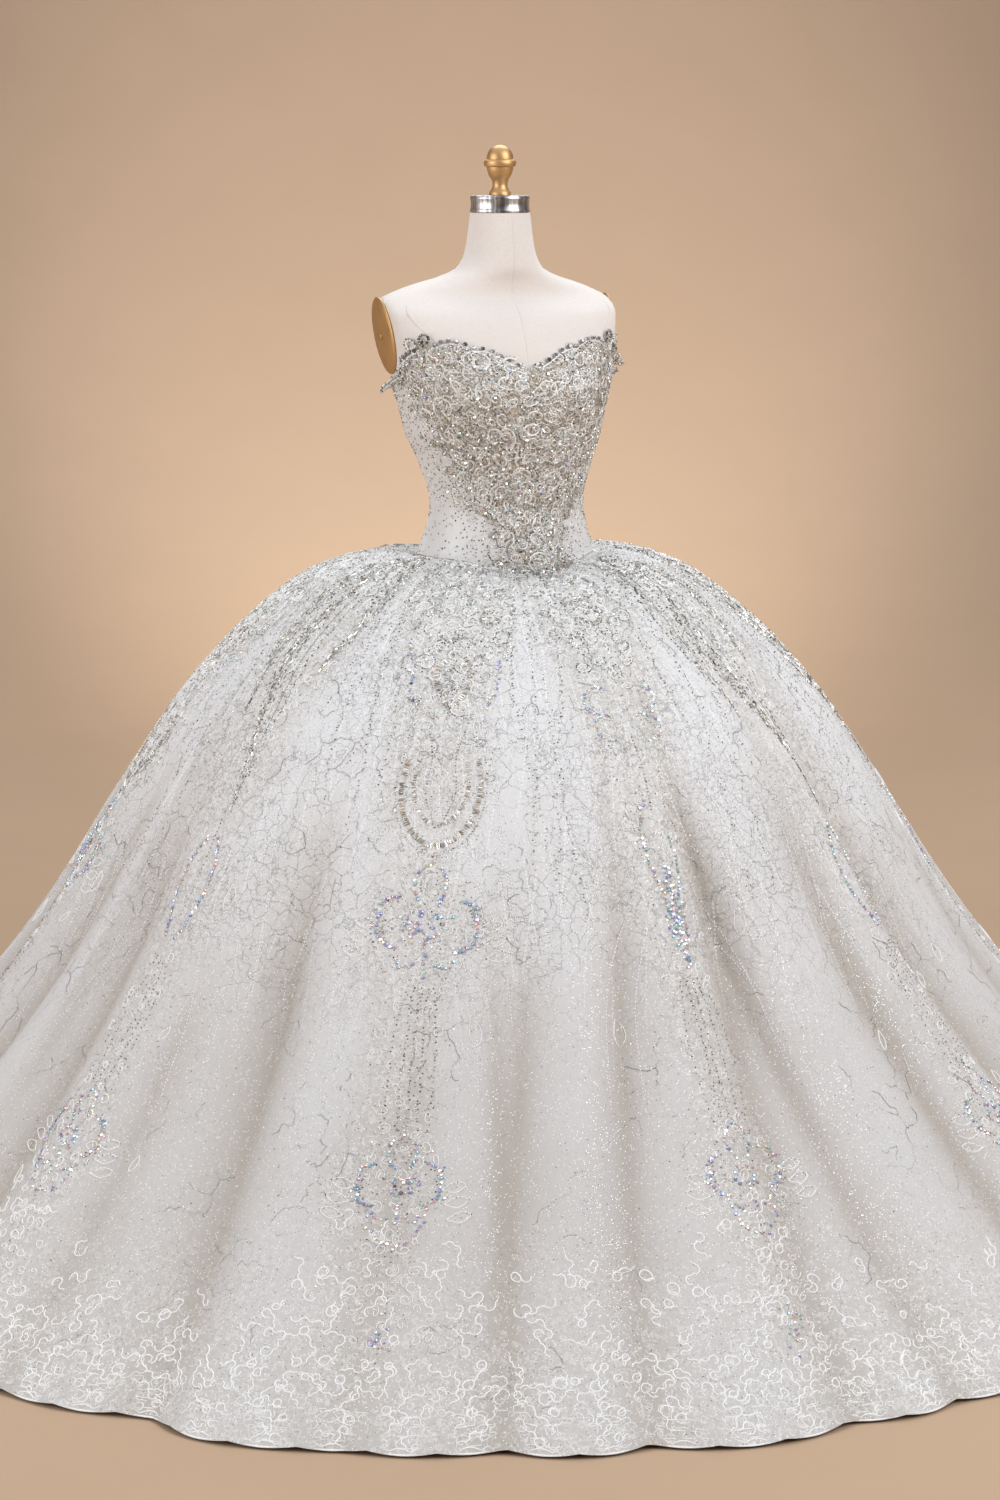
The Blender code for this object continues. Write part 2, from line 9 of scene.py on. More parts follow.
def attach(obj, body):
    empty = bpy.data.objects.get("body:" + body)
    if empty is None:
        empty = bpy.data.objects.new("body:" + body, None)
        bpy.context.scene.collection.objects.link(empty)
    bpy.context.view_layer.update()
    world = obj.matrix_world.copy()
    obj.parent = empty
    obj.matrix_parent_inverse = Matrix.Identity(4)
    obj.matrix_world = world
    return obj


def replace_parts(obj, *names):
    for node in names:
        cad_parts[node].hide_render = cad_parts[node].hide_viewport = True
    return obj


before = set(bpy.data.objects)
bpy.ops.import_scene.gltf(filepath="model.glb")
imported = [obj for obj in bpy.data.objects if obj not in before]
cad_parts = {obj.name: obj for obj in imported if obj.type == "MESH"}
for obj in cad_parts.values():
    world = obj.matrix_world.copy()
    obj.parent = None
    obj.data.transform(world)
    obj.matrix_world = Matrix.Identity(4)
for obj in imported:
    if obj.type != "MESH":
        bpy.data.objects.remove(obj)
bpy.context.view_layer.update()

# The looks of a strapless ball gown on a dress form: fine shells of cloth on the form of
# their solids, with beads, cords, crystals and lace laid on them. Metres; the gown faces
# -Y, the wearer's left is +X. Angles are degrees round the gown from the centre front.

BODY = "root"

# Driving dimensions, as in the solids
WAIST_Z = 1.067
WAIST_SEAM_DROP = 0.0011
FORM_GAP = 0.0009
CUP_EASE = 0.0026
CUP_EASE_SPREAD = 0.085
BODICE_WALL = 0.0022
SKIRT_WALL = 0.0024
HEM_RADIUS = 1.218
HEM_Z = 0.004
LACE_TOP_Z = 0.145
GATHERS = 45
GATHER_HEIGHT = 0.0065
MOTIF_COLUMNS = 11
SCALLOPS = 80
SCALLOP_DEPTH = 0.008
SCALLOP_SOFTENED = 0.55
APPLIQUE_BASE = 0.0012
APPLIQUE_SCROLL = 0.0024
APPLIQUE_RADIUS = 0.155
SCROLL_WIDTH = 0.030
SCROLL_HEIGHT = 0.046
TORSO_BOTTOM_Z = 0.880
NECK_TOP_Z = 1.608
CAP_HEIGHT = 0.027
ARM_PLATE_Z = 1.415
ARM_PLATE_X = 0.187
ARM_PLATE_Y = 0.030
ARM_PLATE_LEAN = 0.19
ARM_PLATE_HALF_WIDTH = 0.043
ARM_PLATE_HALF_HEIGHT = 0.0625
ARM_PLATE_RISE = 0.0065
ARM_CUT_FROM_Z = 1.340
BUST_Z = 1.322
BUST_X = 0.080
BUST_OUT = 0.013
BUST_SPREAD_X = 0.050
BUST_SPREAD_Z = 0.050
NECK_SCROLL_ANGLE = 49.0
NECK_SCROLL_RADIUS = 0.0105
NECK_SCROLL_BEAD = 0.0026
NECK_SCROLL_TURN = 1.15

Section = namedtuple("Section", "z half_width side_y front_y back_y square")
TORSO_SECTIONS = [
    Section(TORSO_BOTTOM_Z, 0.166, 0.000, -0.132, 0.118, 2.3),
    Section(0.960, 0.172, 0.000, -0.140, 0.122, 2.3),
    Section(1.020, 0.158, -0.010, -0.139, 0.104, 2.2),
    Section(1.070, 0.141, -0.022, -0.134, 0.080, 2.2),
    Section(1.148, 0.1235, -0.025, -0.124, 0.062, 2.1),
    Section(1.213, 0.140, -0.020, -0.128, 0.072, 2.1),
    Section(1.265, 0.159, -0.010, -0.133, 0.084, 2.1),
    Section(1.323, 0.170, 0.000, -0.131, 0.095, 2.2),
    Section(1.370, 0.186, 0.014, -0.117, 0.100, 2.4),
    Section(1.410, 0.203, 0.024, -0.102, 0.100, 2.4),
    Section(1.450, 0.211, 0.030, -0.080, 0.096, 2.4),
    Section(1.471, 0.197, 0.030, -0.058, 0.088, 2.3),
    Section(1.484, 0.172, 0.027, -0.050, 0.079, 2.2),
    Section(1.496, 0.139, 0.020, -0.050, 0.071, 2.1),
    Section(1.507, 0.101, 0.011, -0.053, 0.063, 2.0),
    Section(1.521, 0.071, 0.004, -0.058, 0.058, 2.0),
    Section(1.548, 0.0565, 0.000, -0.056, 0.056, 2.0),
    Section(NECK_TOP_Z, 0.0480, 0.000, -0.048, 0.048, 2.0),
]
Edge = namedtuple("Edge", "angle z")
NECKLINE = [
    Edge(0, 1.366), Edge(8, 1.374), Edge(18, 1.392), Edge(28, 1.401), Edge(40, 1.403),
    Edge(52, 1.398), Edge(66, 1.380), Edge(80, 1.352), Edge(100, 1.341), Edge(140, 1.336),
    Edge(180, 1.334),
]
BASQUE = [
    Edge(0, 1.028), Edge(6, 1.034), Edge(16, 1.046), Edge(32, 1.058), Edge(55, 1.066),
    Edge(90, 1.066), Edge(130, 1.050), Edge(180, 1.037),
]
Ring = namedtuple("Ring", "radius z")
SKIRT_PROFILE = [
    Ring(0.130, WAIST_Z), Ring(0.144, 1.063), Ring(0.172, 1.066), Ring(0.240, 1.056),
    Ring(0.306, 1.033), Ring(0.413, 0.955), Ring(0.514, 0.850), Ring(0.623, 0.700),
    Ring(0.757, 0.500), Ring(1.058, LACE_TOP_Z), Ring(HEM_RADIUS, HEM_Z),
]
SKIRT_ROWS = len(SKIRT_PROFILE) - 1
LACE_ROW = SKIRT_ROWS - 1

# The main folds, each a valley: its place at the hem, its depth there, how far its sides
# reach, the height it starts from and how far it leans
Fold = namedtuple("Fold", "angle depth reach_r reach_l start_z lean")
FOLDS = [
    Fold(-176, 0.030, 4.5, 6.0, 0.95, 3), Fold(-161, 0.022, 5.0, 3.5, 0.80, -2),
    Fold(-147, 0.034, 3.5, 6.5, 1.00, 2), Fold(-131, 0.024, 6.0, 4.0, 0.70, -3),
    Fold(-117, 0.036, 4.0, 5.5, 1.00, 2), Fold(-102, 0.022, 5.0, 5.0, 0.85, 3),
    Fold(-87, 0.030, 6.0, 3.0, 0.90, -2), Fold(-71, 0.034, 5.5, 3.0, 0.90, 3),
    Fold(-59, 0.018, 4.0, 4.5, 0.60, 0), Fold(-47, 0.046, 6.0, 2.6, 0.85, 1),
    Fold(-33, 0.014, 4.0, 4.0, 0.55, -2), Fold(-23, 0.028, 4.0, 3.5, 0.65, -3),
    Fold(-13, 0.030, 3.0, 3.0, 0.80, -5), Fold(1, 0.030, 3.0, 3.5, 0.85, -4),
    Fold(9, 0.024, 2.6, 4.5, 1.04, 7), Fold(24, 0.026, 4.5, 4.0, 0.90, 3),
    Fold(37, 0.034, 3.0, 6.0, 1.00, 4), Fold(51, 0.022, 5.0, 4.0, 0.75, -2),
    Fold(64, 0.032, 3.0, 5.5, 0.95, 3), Fold(79, 0.024, 5.0, 5.0, 0.85, -2),
    Fold(93, 0.034, 4.0, 6.0, 1.00, 2), Fold(108, 0.022, 6.0, 4.0, 0.70, -3),
    Fold(122, 0.036, 4.0, 5.0, 0.95, 2), Fold(137, 0.024, 5.0, 4.0, 0.85, 3),
    Fold(152, 0.032, 4.0, 6.0, 0.95, -2), Fold(167, 0.022, 5.0, 4.0, 0.75, 2),
]
Reach = namedtuple("Reach", "z angle")
APPLIQUE_REACH = [
    Reach(1.02, 12), Reach(1.10, 17), Reach(1.17, 27), Reach(1.25, 48), Reach(1.33, 78),
    Reach(1.41, 88),
]
Panel = namedtuple("Panel", "name start end")
BODICE_PANELS = [
    Panel("bodice_front", -38, 38), Panel("bodice_side_front_L", 38, 90),
    Panel("bodice_side_back_L", 90, 136), Panel("bodice_back_L", 136, 180),
    Panel("bodice_side_front_R", -90, -38), Panel("bodice_side_back_R", -136, -90),
    Panel("bodice_back_R", -180, -136),
]
Gore = namedtuple("Gore", "suffix start end")
GORES = [
    Gore("front", -30, 30), Gore("side_front_L", 30, 84), Gore("side_back_L", 84, 138),
    Gore("back_L", 138, 180), Gore("side_front_R", -84, -30),
    Gore("side_back_R", -138, -84), Gore("back_R", -180, -138),
]

# Camera, at the photo's angle to the gown
CAMERA_TURN = -23.0
CAMERA_DISTANCE = 5.27
CAMERA_HEIGHT = 1.72
CAMERA_DIP = 10.61
CAMERA_FOCAL_PIXELS = 3249.0
FRAME_HEIGHT_PIXELS = 1500.0
SENSOR_MM = 36.0

# Fineness of the meshes
SKIRT_STEP = 0.5
SKIRT_FINE_ROWS = 66
LACE_STEP = 0.5
LACE_FINE_ROWS = 9
SEAM_ROW = 0.001
BODICE_STEP = 1.4
BODICE_FINE_ROWS = 84
CLOTH_THICKNESS = 0.0018
FOLD_SHARPNESS = 1.45

# Sizes of the small things
CORD_WIDTH = 0.0022
THREAD_WIDTH = 0.0012
SEED = 0.0030
BUGLE = (0.0024, 0.0075)
CRYSTAL = 0.0068
DASH = (0.0019, 0.0038, 0.0016)

# The first embroidered column, in degrees; the others follow evenly
COLUMN_START = -1.0


# Numbers


def smooth(xs, ys, x):
    """Monotone cubic through a table, read at x (a number or an array)."""
    xs = np.asarray(xs, float)
    ys = np.asarray(ys, float)
    step = np.diff(xs)
    slope = np.diff(ys) / step
    tangent = np.zeros(len(xs))
    for i in range(1, len(xs) - 1):
        if slope[i - 1] * slope[i] > 0:
            before = 2 * step[i] + step[i - 1]
            after = step[i] + 2 * step[i - 1]
            tangent[i] = (before + after) / (before / slope[i - 1] + after / slope[i])
    tangent[0] = slope[0]
    tangent[-1] = slope[-1]
    x = np.clip(x, xs[0], xs[-1])
    i = np.clip(np.searchsorted(xs, x) - 1, 0, len(xs) - 2)
    t = (x - xs[i]) / step[i]
    rise = ys[i] * (1 + 2 * t) * (1 - t) ** 2 + ys[i + 1] * t * t * (3 - 2 * t)
    return rise + step[i] * (tangent[i] * t * (1 - t) ** 2 - tangent[i + 1] * t * t * (1 - t))


def step_between(low, high, x):
    """0 below low, 1 above high and a soft step between them."""
    t = np.clip((x - low) / (high - low), 0.0, 1.0)
    return t * t * (3 - 2 * t)


def unit(vectors):
    return vectors / np.maximum(np.linalg.norm(vectors, axis=-1, keepdims=True), 1e-12)


# The form's skin and the bodice on it


def torso_point(angle, z):
    table_z = [s.z for s in TORSO_SECTIONS]
    width, side, front, back, square = (
        smooth(table_z, [getattr(s, name) for s in TORSO_SECTIONS], z)
        for name in ("half_width", "side_y", "front_y", "back_y", "square"))
    sine = np.sin(np.radians(angle))
    cosine = np.cos(np.radians(angle))
    x = width * np.sign(sine) * np.abs(sine) ** (2 / square)
    depth = np.where(cosine > 0, front - side, back - side) * np.abs(cosine) ** (2 / square)
    y = side + depth
    lobe = np.exp(-((np.abs(x) - BUST_X) / BUST_SPREAD_X) ** 2 - ((z - BUST_Z) / BUST_SPREAD_Z) ** 2)
    y = y - BUST_OUT * lobe * step_between(0.0, 0.5, cosine)
    arm_plane = ARM_PLATE_X + ARM_PLATE_LEAN * (z - ARM_PLATE_Z)
    limit = np.where(z >= ARM_CUT_FROM_Z, arm_plane, 1.0)
    x = np.clip(x, -limit, limit)
    return np.stack([x, y, z + 0.0 * x], axis=-1)


def torso_frame(angle, z):
    turn = 0.8
    rise = 0.002
    point = torso_point(angle, z)
    sideways = unit(torso_point(angle + turn, z) - torso_point(angle - turn, z))
    upward = unit(torso_point(angle, z + rise) - torso_point(angle, z - rise))
    return point, unit(np.cross(sideways, upward)), sideways


def edge_at(table, angle):
    return smooth([e.angle for e in table], [e.z for e in table], np.abs(angle))


def ease(z):
    return FORM_GAP + CUP_EASE * np.exp(-((z - BUST_Z) / CUP_EASE_SPREAD) ** 2)


def applique_cover(angle, z):
    """1 where the beaded applique covers the bodice, 0 where it is plain."""
    reach = smooth([r.z for r in APPLIQUE_REACH], [r.angle for r in APPLIQUE_REACH], z)
    return 1 - step_between(0.80, 1.05, np.abs(angle) / reach)


def applique_relief(angle, z):
    across = np.radians(np.abs(angle)) * APPLIQUE_RADIUS / SCROLL_WIDTH
    along = z / SCROLL_HEIGHT
    scroll = np.abs(np.sin(math.pi * (across + 0.45 * np.sin(2 * math.pi * along))))
    cross = np.abs(np.sin(math.pi * (along + 0.35 * np.sin(2 * math.pi * across))))
    raised = APPLIQUE_BASE + APPLIQUE_SCROLL * np.maximum(scroll, cross) ** 2
    return applique_cover(angle, z) * raised


def bodice_point(angle, z, lift=0.0):
    """A point on the bodice's outside, lifted off it."""
    point, normal, _ = torso_frame(angle, z)
    bottom = edge_at(BASQUE, angle)
    top = edge_at(NECKLINE, angle)
    share = (z - bottom) / (top - bottom)
    fade = step_between(0.0, 0.06, share) * step_between(1.0, 0.97, share)
    out = ease(z) + BODICE_WALL + applique_relief(angle, z) * fade + lift
    return point + normal * np.asarray(out)[..., None]


# The skirt's surface


def waist_ring():
    angle = np.arange(-180.0, 180.0, 1.0)
    z = edge_at(BASQUE, angle) - WAIST_SEAM_DROP
    point, normal, _ = torso_frame(angle, z)
    middle = point + normal * (FORM_GAP + SKIRT_WALL / 2)
    polar = np.degrees(np.arctan2(middle[:, 0], -middle[:, 1]))
    order = np.argsort(polar)
    return polar[order], np.hypot(middle[:, 0], middle[:, 1])[order], z[order]


WAIST_POLAR, WAIST_RADIUS, WAIST_HEIGHT = waist_ring()


def profile_at(along):
    rows = np.arange(len(SKIRT_PROFILE))
    radius = smooth(rows, [r.radius for r in SKIRT_PROFILE], along)
    height = smooth(rows, [r.z for r in SKIRT_PROFILE], along)
    return radius, height


def length_table():
    """Distance down the skirt from the waist, for steps along the profile."""
    along = np.linspace(0, SKIRT_ROWS, 1201)
    radius, height = profile_at(along)
    steps = np.hypot(np.diff(radius), np.diff(height))
    return along, np.concatenate([[0.0], np.cumsum(steps)])


ALONG_STEPS, ALONG_LENGTHS = length_table()
SKIRT_LENGTH = float(ALONG_LENGTHS[-1])
LACE_LENGTH = float(np.interp(LACE_ROW, ALONG_STEPS, ALONG_LENGTHS))


def along_of(length):
    return np.interp(length, ALONG_LENGTHS, ALONG_STEPS)


def fold_depth(angle, z):
    total = 0.0 * angle
    for fold in FOLDS:
        down = 1 - z / fold.start_z
        grown = step_between(0.0, 0.55, down)
        centre = fold.angle - fold.lean * (1 - step_between(0.0, 1.0, down))
        apart = (angle - centre + 180) % 360 - 180
        reach = np.where(apart < 0, fold.reach_r, fold.reach_l)
        total = total + fold.depth * grown * np.exp(-np.abs(apart / reach) ** FOLD_SHARPNESS)
    return total


def fold_shade(angle, z):
    """How much painted shade the valleys get, narrower than the folds themselves."""
    total = 0.0 * angle
    for fold in FOLDS:
        down = 1 - z / fold.start_z
        grown = step_between(0.0, 0.40, down)
        centre = fold.angle - fold.lean * (1 - step_between(0.0, 1.0, down))
        apart = (angle - centre + 180) % 360 - 180
        reach = 0.62 * np.where(apart < 0, fold.reach_r, fold.reach_l)
        strong = min(1.0, 0.35 + fold.depth / 0.050)
        total = total + strong * grown * np.exp(-np.abs(apart / reach) ** 1.2)
    return np.clip(total, 0, 1)


def gather_height(angle, along):
    phase = GATHERS * angle / 360
    uneven = 0.75 + 0.25 * np.sin(math.radians(7.0) * angle + 1.3)
    wave = 0.5 - 0.5 * np.cos(2 * math.pi * phase + 0.8 * np.sin(math.radians(5.0) * angle))
    fade = step_between(0.4, 2.0, along) * (1 - step_between(2.5, 6.0, along))
    return GATHER_HEIGHT * uneven * wave * fade


# Small creases between the main folds, uneven in place, length, depth and lean
Crease = namedtuple("Crease", "angle depth reach start end lean")


def make_creases(count):
    draw = np.random.default_rng(7)
    made = []
    for i in range(count):
        angle = -180 + 360 * (i + draw.uniform(0.1, 0.9)) / count
        start = draw.uniform(0.10, 0.75)
        made.append(Crease(angle, draw.uniform(0.0015, 0.0055) * draw.choice([-0.7, 1.0]),
                           draw.uniform(0.8, 2.0), start, start + draw.uniform(0.45, 1.1),
                           draw.uniform(-4.0, 4.0)))
    return made


CREASES = make_creases(64)


def crease_depth(angle, length):
    total = 0.0 * angle
    for crease in CREASES:
        span = (length - crease.start) / (crease.end - crease.start)
        weight = step_between(0.0, 0.3, span) * (1 - step_between(0.65, 1.0, span))
        apart = (angle - crease.angle - crease.lean * (length - 0.7) + 180) % 360 - 180
        total = total + crease.depth * weight * np.exp(-((apart / crease.reach) ** 2))
    return total


def fine_pleats(angle, along):
    """Narrow gathers that run out of the waist seam, finer than the main ones."""
    shift = 2.1 * np.sin(np.radians(11 * angle)) + 1.4 * np.sin(np.radians(17 * angle) + 0.6)
    wave = np.sin(np.radians(118 * angle) + shift)
    fade = step_between(0.25, 1.2, along) * (1 - step_between(2.2, 5.6, along))
    return 0.0016 * wave * fade


def skirt_point(angle, along, lift=0.0):
    """A point on the skirt's outside, lifted off it."""
    base_radius, base_z = profile_at(along)
    fade = 1 - step_between(0.0, 5.0, along)
    ring_radius = np.interp(angle, WAIST_POLAR, WAIST_RADIUS, period=360)
    ring_z = np.interp(angle, WAIST_POLAR, WAIST_HEIGHT, period=360)
    radius = base_radius + (ring_radius - SKIRT_PROFILE[0].radius) * fade
    z = base_z + (ring_z - SKIRT_PROFILE[0].z) * fade
    small = 0.02
    radius_on, z_on = profile_at(along + small)
    radius_off, z_off = profile_at(along - small)
    slope = unit(np.stack([-(z_on - z_off), radius_on - radius_off], axis=-1))
    level = step_between(SKIRT_ROWS - 3.0, SKIRT_ROWS - 1.0, along)
    start = 1 - step_between(0.0, 1.0, along)
    out_r = (slope[..., 0] * (1 - level) + level) * (1 - start) + start
    out_z = slope[..., 1] * (1 - level) * (1 - start)
    folds = fold_depth(angle, z) * step_between(0.0, 4.0, along)
    length = np.interp(along, ALONG_STEPS, ALONG_LENGTHS)
    push = gather_height(angle, along) + fine_pleats(angle, along) - folds
    push = push - crease_depth(angle, length) + SKIRT_WALL / 2 + lift
    radius = radius + push * out_r
    turn = np.radians(angle)
    return np.stack([radius * np.sin(turn), -radius * np.cos(turn), z + push * out_z], axis=-1)


def skirt_at(angle, length, lift=0.0):
    return skirt_point(angle, along_of(length), lift)


def skirt_radius(length):
    return profile_at(along_of(length))[0]


def frame_of(surface, u, v, lift, step_u, step_v):
    """Points on a surface with their sideways, downward and outward directions."""
    point = surface(u, v, lift)
    sideways = unit(surface(u + step_u, v, lift) - surface(u - step_u, v, lift))
    second = unit(surface(u, v + step_v, lift) - surface(u, v - step_v, lift))
    normal = unit(np.cross(second, sideways))
    return point, sideways, unit(np.cross(sideways, normal)), normal


def skirt_frame(angle, length, lift=0.0):
    return frame_of(skirt_at, angle, length, lift, 0.25, 0.003)


def bodice_frame(angle, z, lift=0.0):
    """Down is the second direction, as on the skirt."""
    def flipped(a, minus_z, up):
        return bodice_point(a, -minus_z, up)
    return frame_of(flipped, angle, -z, lift, 0.8, 0.002)


# Materials


DASHED_SPACING = 0.075


class Nodes:
    """A material's node tree, with short ways to add and link nodes."""

    def __init__(self, name):
        self.material = bpy.data.materials.new(name)
        self.material.use_nodes = True
        self.tree = self.material.node_tree
        self.shader = self.tree.nodes["Principled BSDF"]

    def add(self, kind, **settings):
        node = self.tree.nodes.new(kind)
        for key, value in settings.items():
            setattr(node, key, value)
        return node

    def link(self, source, target):
        self.tree.links.new(source, target)

    def put(self, **sockets):
        for key, value in sockets.items():
            self.shader.inputs[key.replace("_", " ")].default_value = value
        return self

    def coordinates(self, space="Object"):
        return self.add("ShaderNodeTexCoord").outputs[space]

    def stretched(self, source, scale):
        node = self.add("ShaderNodeMapping")
        node.inputs["Scale"].default_value = scale
        self.link(source, node.inputs["Vector"])
        return node.outputs["Vector"]

    def noise(self, source, scale, detail=4.0, rough=0.55):
        node = self.add("ShaderNodeTexNoise")
        node.inputs["Scale"].default_value = scale
        node.inputs["Detail"].default_value = detail
        node.inputs["Roughness"].default_value = rough
        self.link(source, node.inputs["Vector"])
        return node.outputs["Fac"]

    def cells(self, source, scale, feature="F1"):
        node = self.add("ShaderNodeTexVoronoi", feature=feature)
        node.inputs["Scale"].default_value = scale
        self.link(source, node.inputs["Vector"])
        return node

    def ramp(self, source, *stops):
        node = self.add("ShaderNodeValToRGB")
        elements = node.color_ramp.elements
        while len(elements) < len(stops):
            elements.new(0.5)
        for element, (place, value) in zip(elements, stops):
            element.position = place
            colour = value if hasattr(value, "__len__") else (value,) * 3
            element.color = (*colour, 1.0)
        self.link(source, node.inputs["Fac"])
        return node.outputs["Color"]

    def mix(self, factor, first, second, blend="MIX"):
        node = self.add("ShaderNodeMix", data_type="RGBA", blend_type=blend)
        for socket, value in ((node.inputs[0], factor), (node.inputs[6], first),
                              (node.inputs[7], second)):
            if isinstance(value, bpy.types.NodeSocket):
                self.link(value, socket)
            elif hasattr(value, "__len__"):
                socket.default_value = (*value, 1.0)
            else:
                socket.default_value = value
        return node.outputs[2]

    def sum(self, first, second, operation="ADD"):
        node = self.add("ShaderNodeMath", operation=operation)
        for socket, value in ((node.inputs[0], first), (node.inputs[1], second)):
            if isinstance(value, bpy.types.NodeSocket):
                self.link(value, socket)
            else:
                socket.default_value = value
        return node.outputs[0]

    def warped(self, source, scale, amount):
        """The same coordinates pushed about by a soft noise."""
        node = self.add("ShaderNodeTexNoise")
        node.inputs["Scale"].default_value = scale
        self.link(source, node.inputs["Vector"])
        push = self.add("ShaderNodeVectorMath", operation="SCALE")
        self.link(node.outputs["Color"], push.inputs[0])
        push.inputs["Scale"].default_value = amount
        moved = self.add("ShaderNodeVectorMath", operation="ADD")
        self.link(source, moved.inputs[0])
        self.link(push.outputs["Vector"], moved.inputs[1])
        return moved.outputs["Vector"]

    def web(self, source, scale, thin):
        """1 on the sides of random cells and 0 inside them."""
        edges = self.cells(source, scale, "DISTANCE_TO_EDGE").outputs["Distance"]
        return self.ramp(edges, (0.5 * thin, 1.0), (thin, 0.0))

    def rings(self, source, scale, radius, thin):
        """Circles round the middles of random cells."""
        away = self.cells(source, scale).outputs["Distance"]
        off = self.sum(self.sum(away, radius, "SUBTRACT"), 0.0, "ABSOLUTE")
        return self.ramp(off, (0.5 * thin, 1.0), (thin, 0.0))

    def dashed(self, cloth, place, lean, shift):
        """Long dashed threads down the skirt, leaning to one side, each shown in parts."""
        axes = self.add("ShaderNodeSeparateXYZ")
        self.link(cloth, axes.inputs["Vector"])
        down = axes.outputs["Y"]
        turn = self.sum(axes.outputs["X"], DASHED_SPACING, "DIVIDE")
        turn = self.sum(turn, self.sum(down, lean, "MULTIPLY"))
        sway = self.sum(self.noise(cloth, 3.0, 1.0), 0.7, "MULTIPLY")
        turn = self.sum(self.sum(turn, sway), shift)
        level = self.add("ShaderNodeVectorMath", operation="MULTIPLY")
        self.link(place, level.inputs[0])
        level.inputs[1].default_value = (1.0, 1.0, 0.0)
        reach = self.add("ShaderNodeVectorMath", operation="LENGTH")
        self.link(level.outputs["Vector"], reach.inputs[0])
        off = self.sum(self.sum(self.sum(turn, 0.0, "FRACT"), 0.5, "SUBTRACT"), 0.0, "ABSOLUTE")
        gap = self.sum(self.sum(off, reach.outputs["Value"], "MULTIPLY"),
                       200.0 * DASHED_SPACING / HEM_RADIUS, "MULTIPLY")
        line = self.ramp(gap, (0.14, 1.0), (0.26, 0.0))
        chance = self.add("ShaderNodeTexWhiteNoise", noise_dimensions="1D")
        self.link(self.sum(turn, 0.0, "FLOOR"), chance.inputs["W"])
        lot = chance.outputs["Value"]
        wave = self.sum(self.sum(down, 17.0, "MULTIPLY"), self.sum(lot, 40.0, "MULTIPLY"))
        shown = self.sum(self.sum(wave, 0.0, "SINE"), 0.15, "GREATER_THAN")
        beat = self.sum(self.sum(down, 150.0, "MULTIPLY"), self.sum(lot, 7.0, "MULTIPLY"))
        dash = self.sum(self.sum(beat, 0.0, "FRACT"), 0.62, "LESS_THAN")
        return self.sum(self.sum(line, shown, "MULTIPLY"), dash, "MULTIPLY")

    def attribute(self, name, output="Fac"):
        return self.add("ShaderNodeAttribute", attribute_name=name).outputs[output]

    def colour(self, source):
        self.link(source, self.shader.inputs["Base Color"])
        return self

    def rough(self, source):
        self.link(source, self.shader.inputs["Roughness"])
        return self

    def metal(self, source):
        self.link(source, self.shader.inputs["Metallic"])
        return self

    def bump(self, source, strength, distance):
        node = self.add("ShaderNodeBump")
        node.inputs["Strength"].default_value = strength
        node.inputs["Distance"].default_value = distance
        self.link(source, node.inputs["Height"])
        self.link(node.outputs["Normal"], self.shader.inputs["Normal"])
        return self


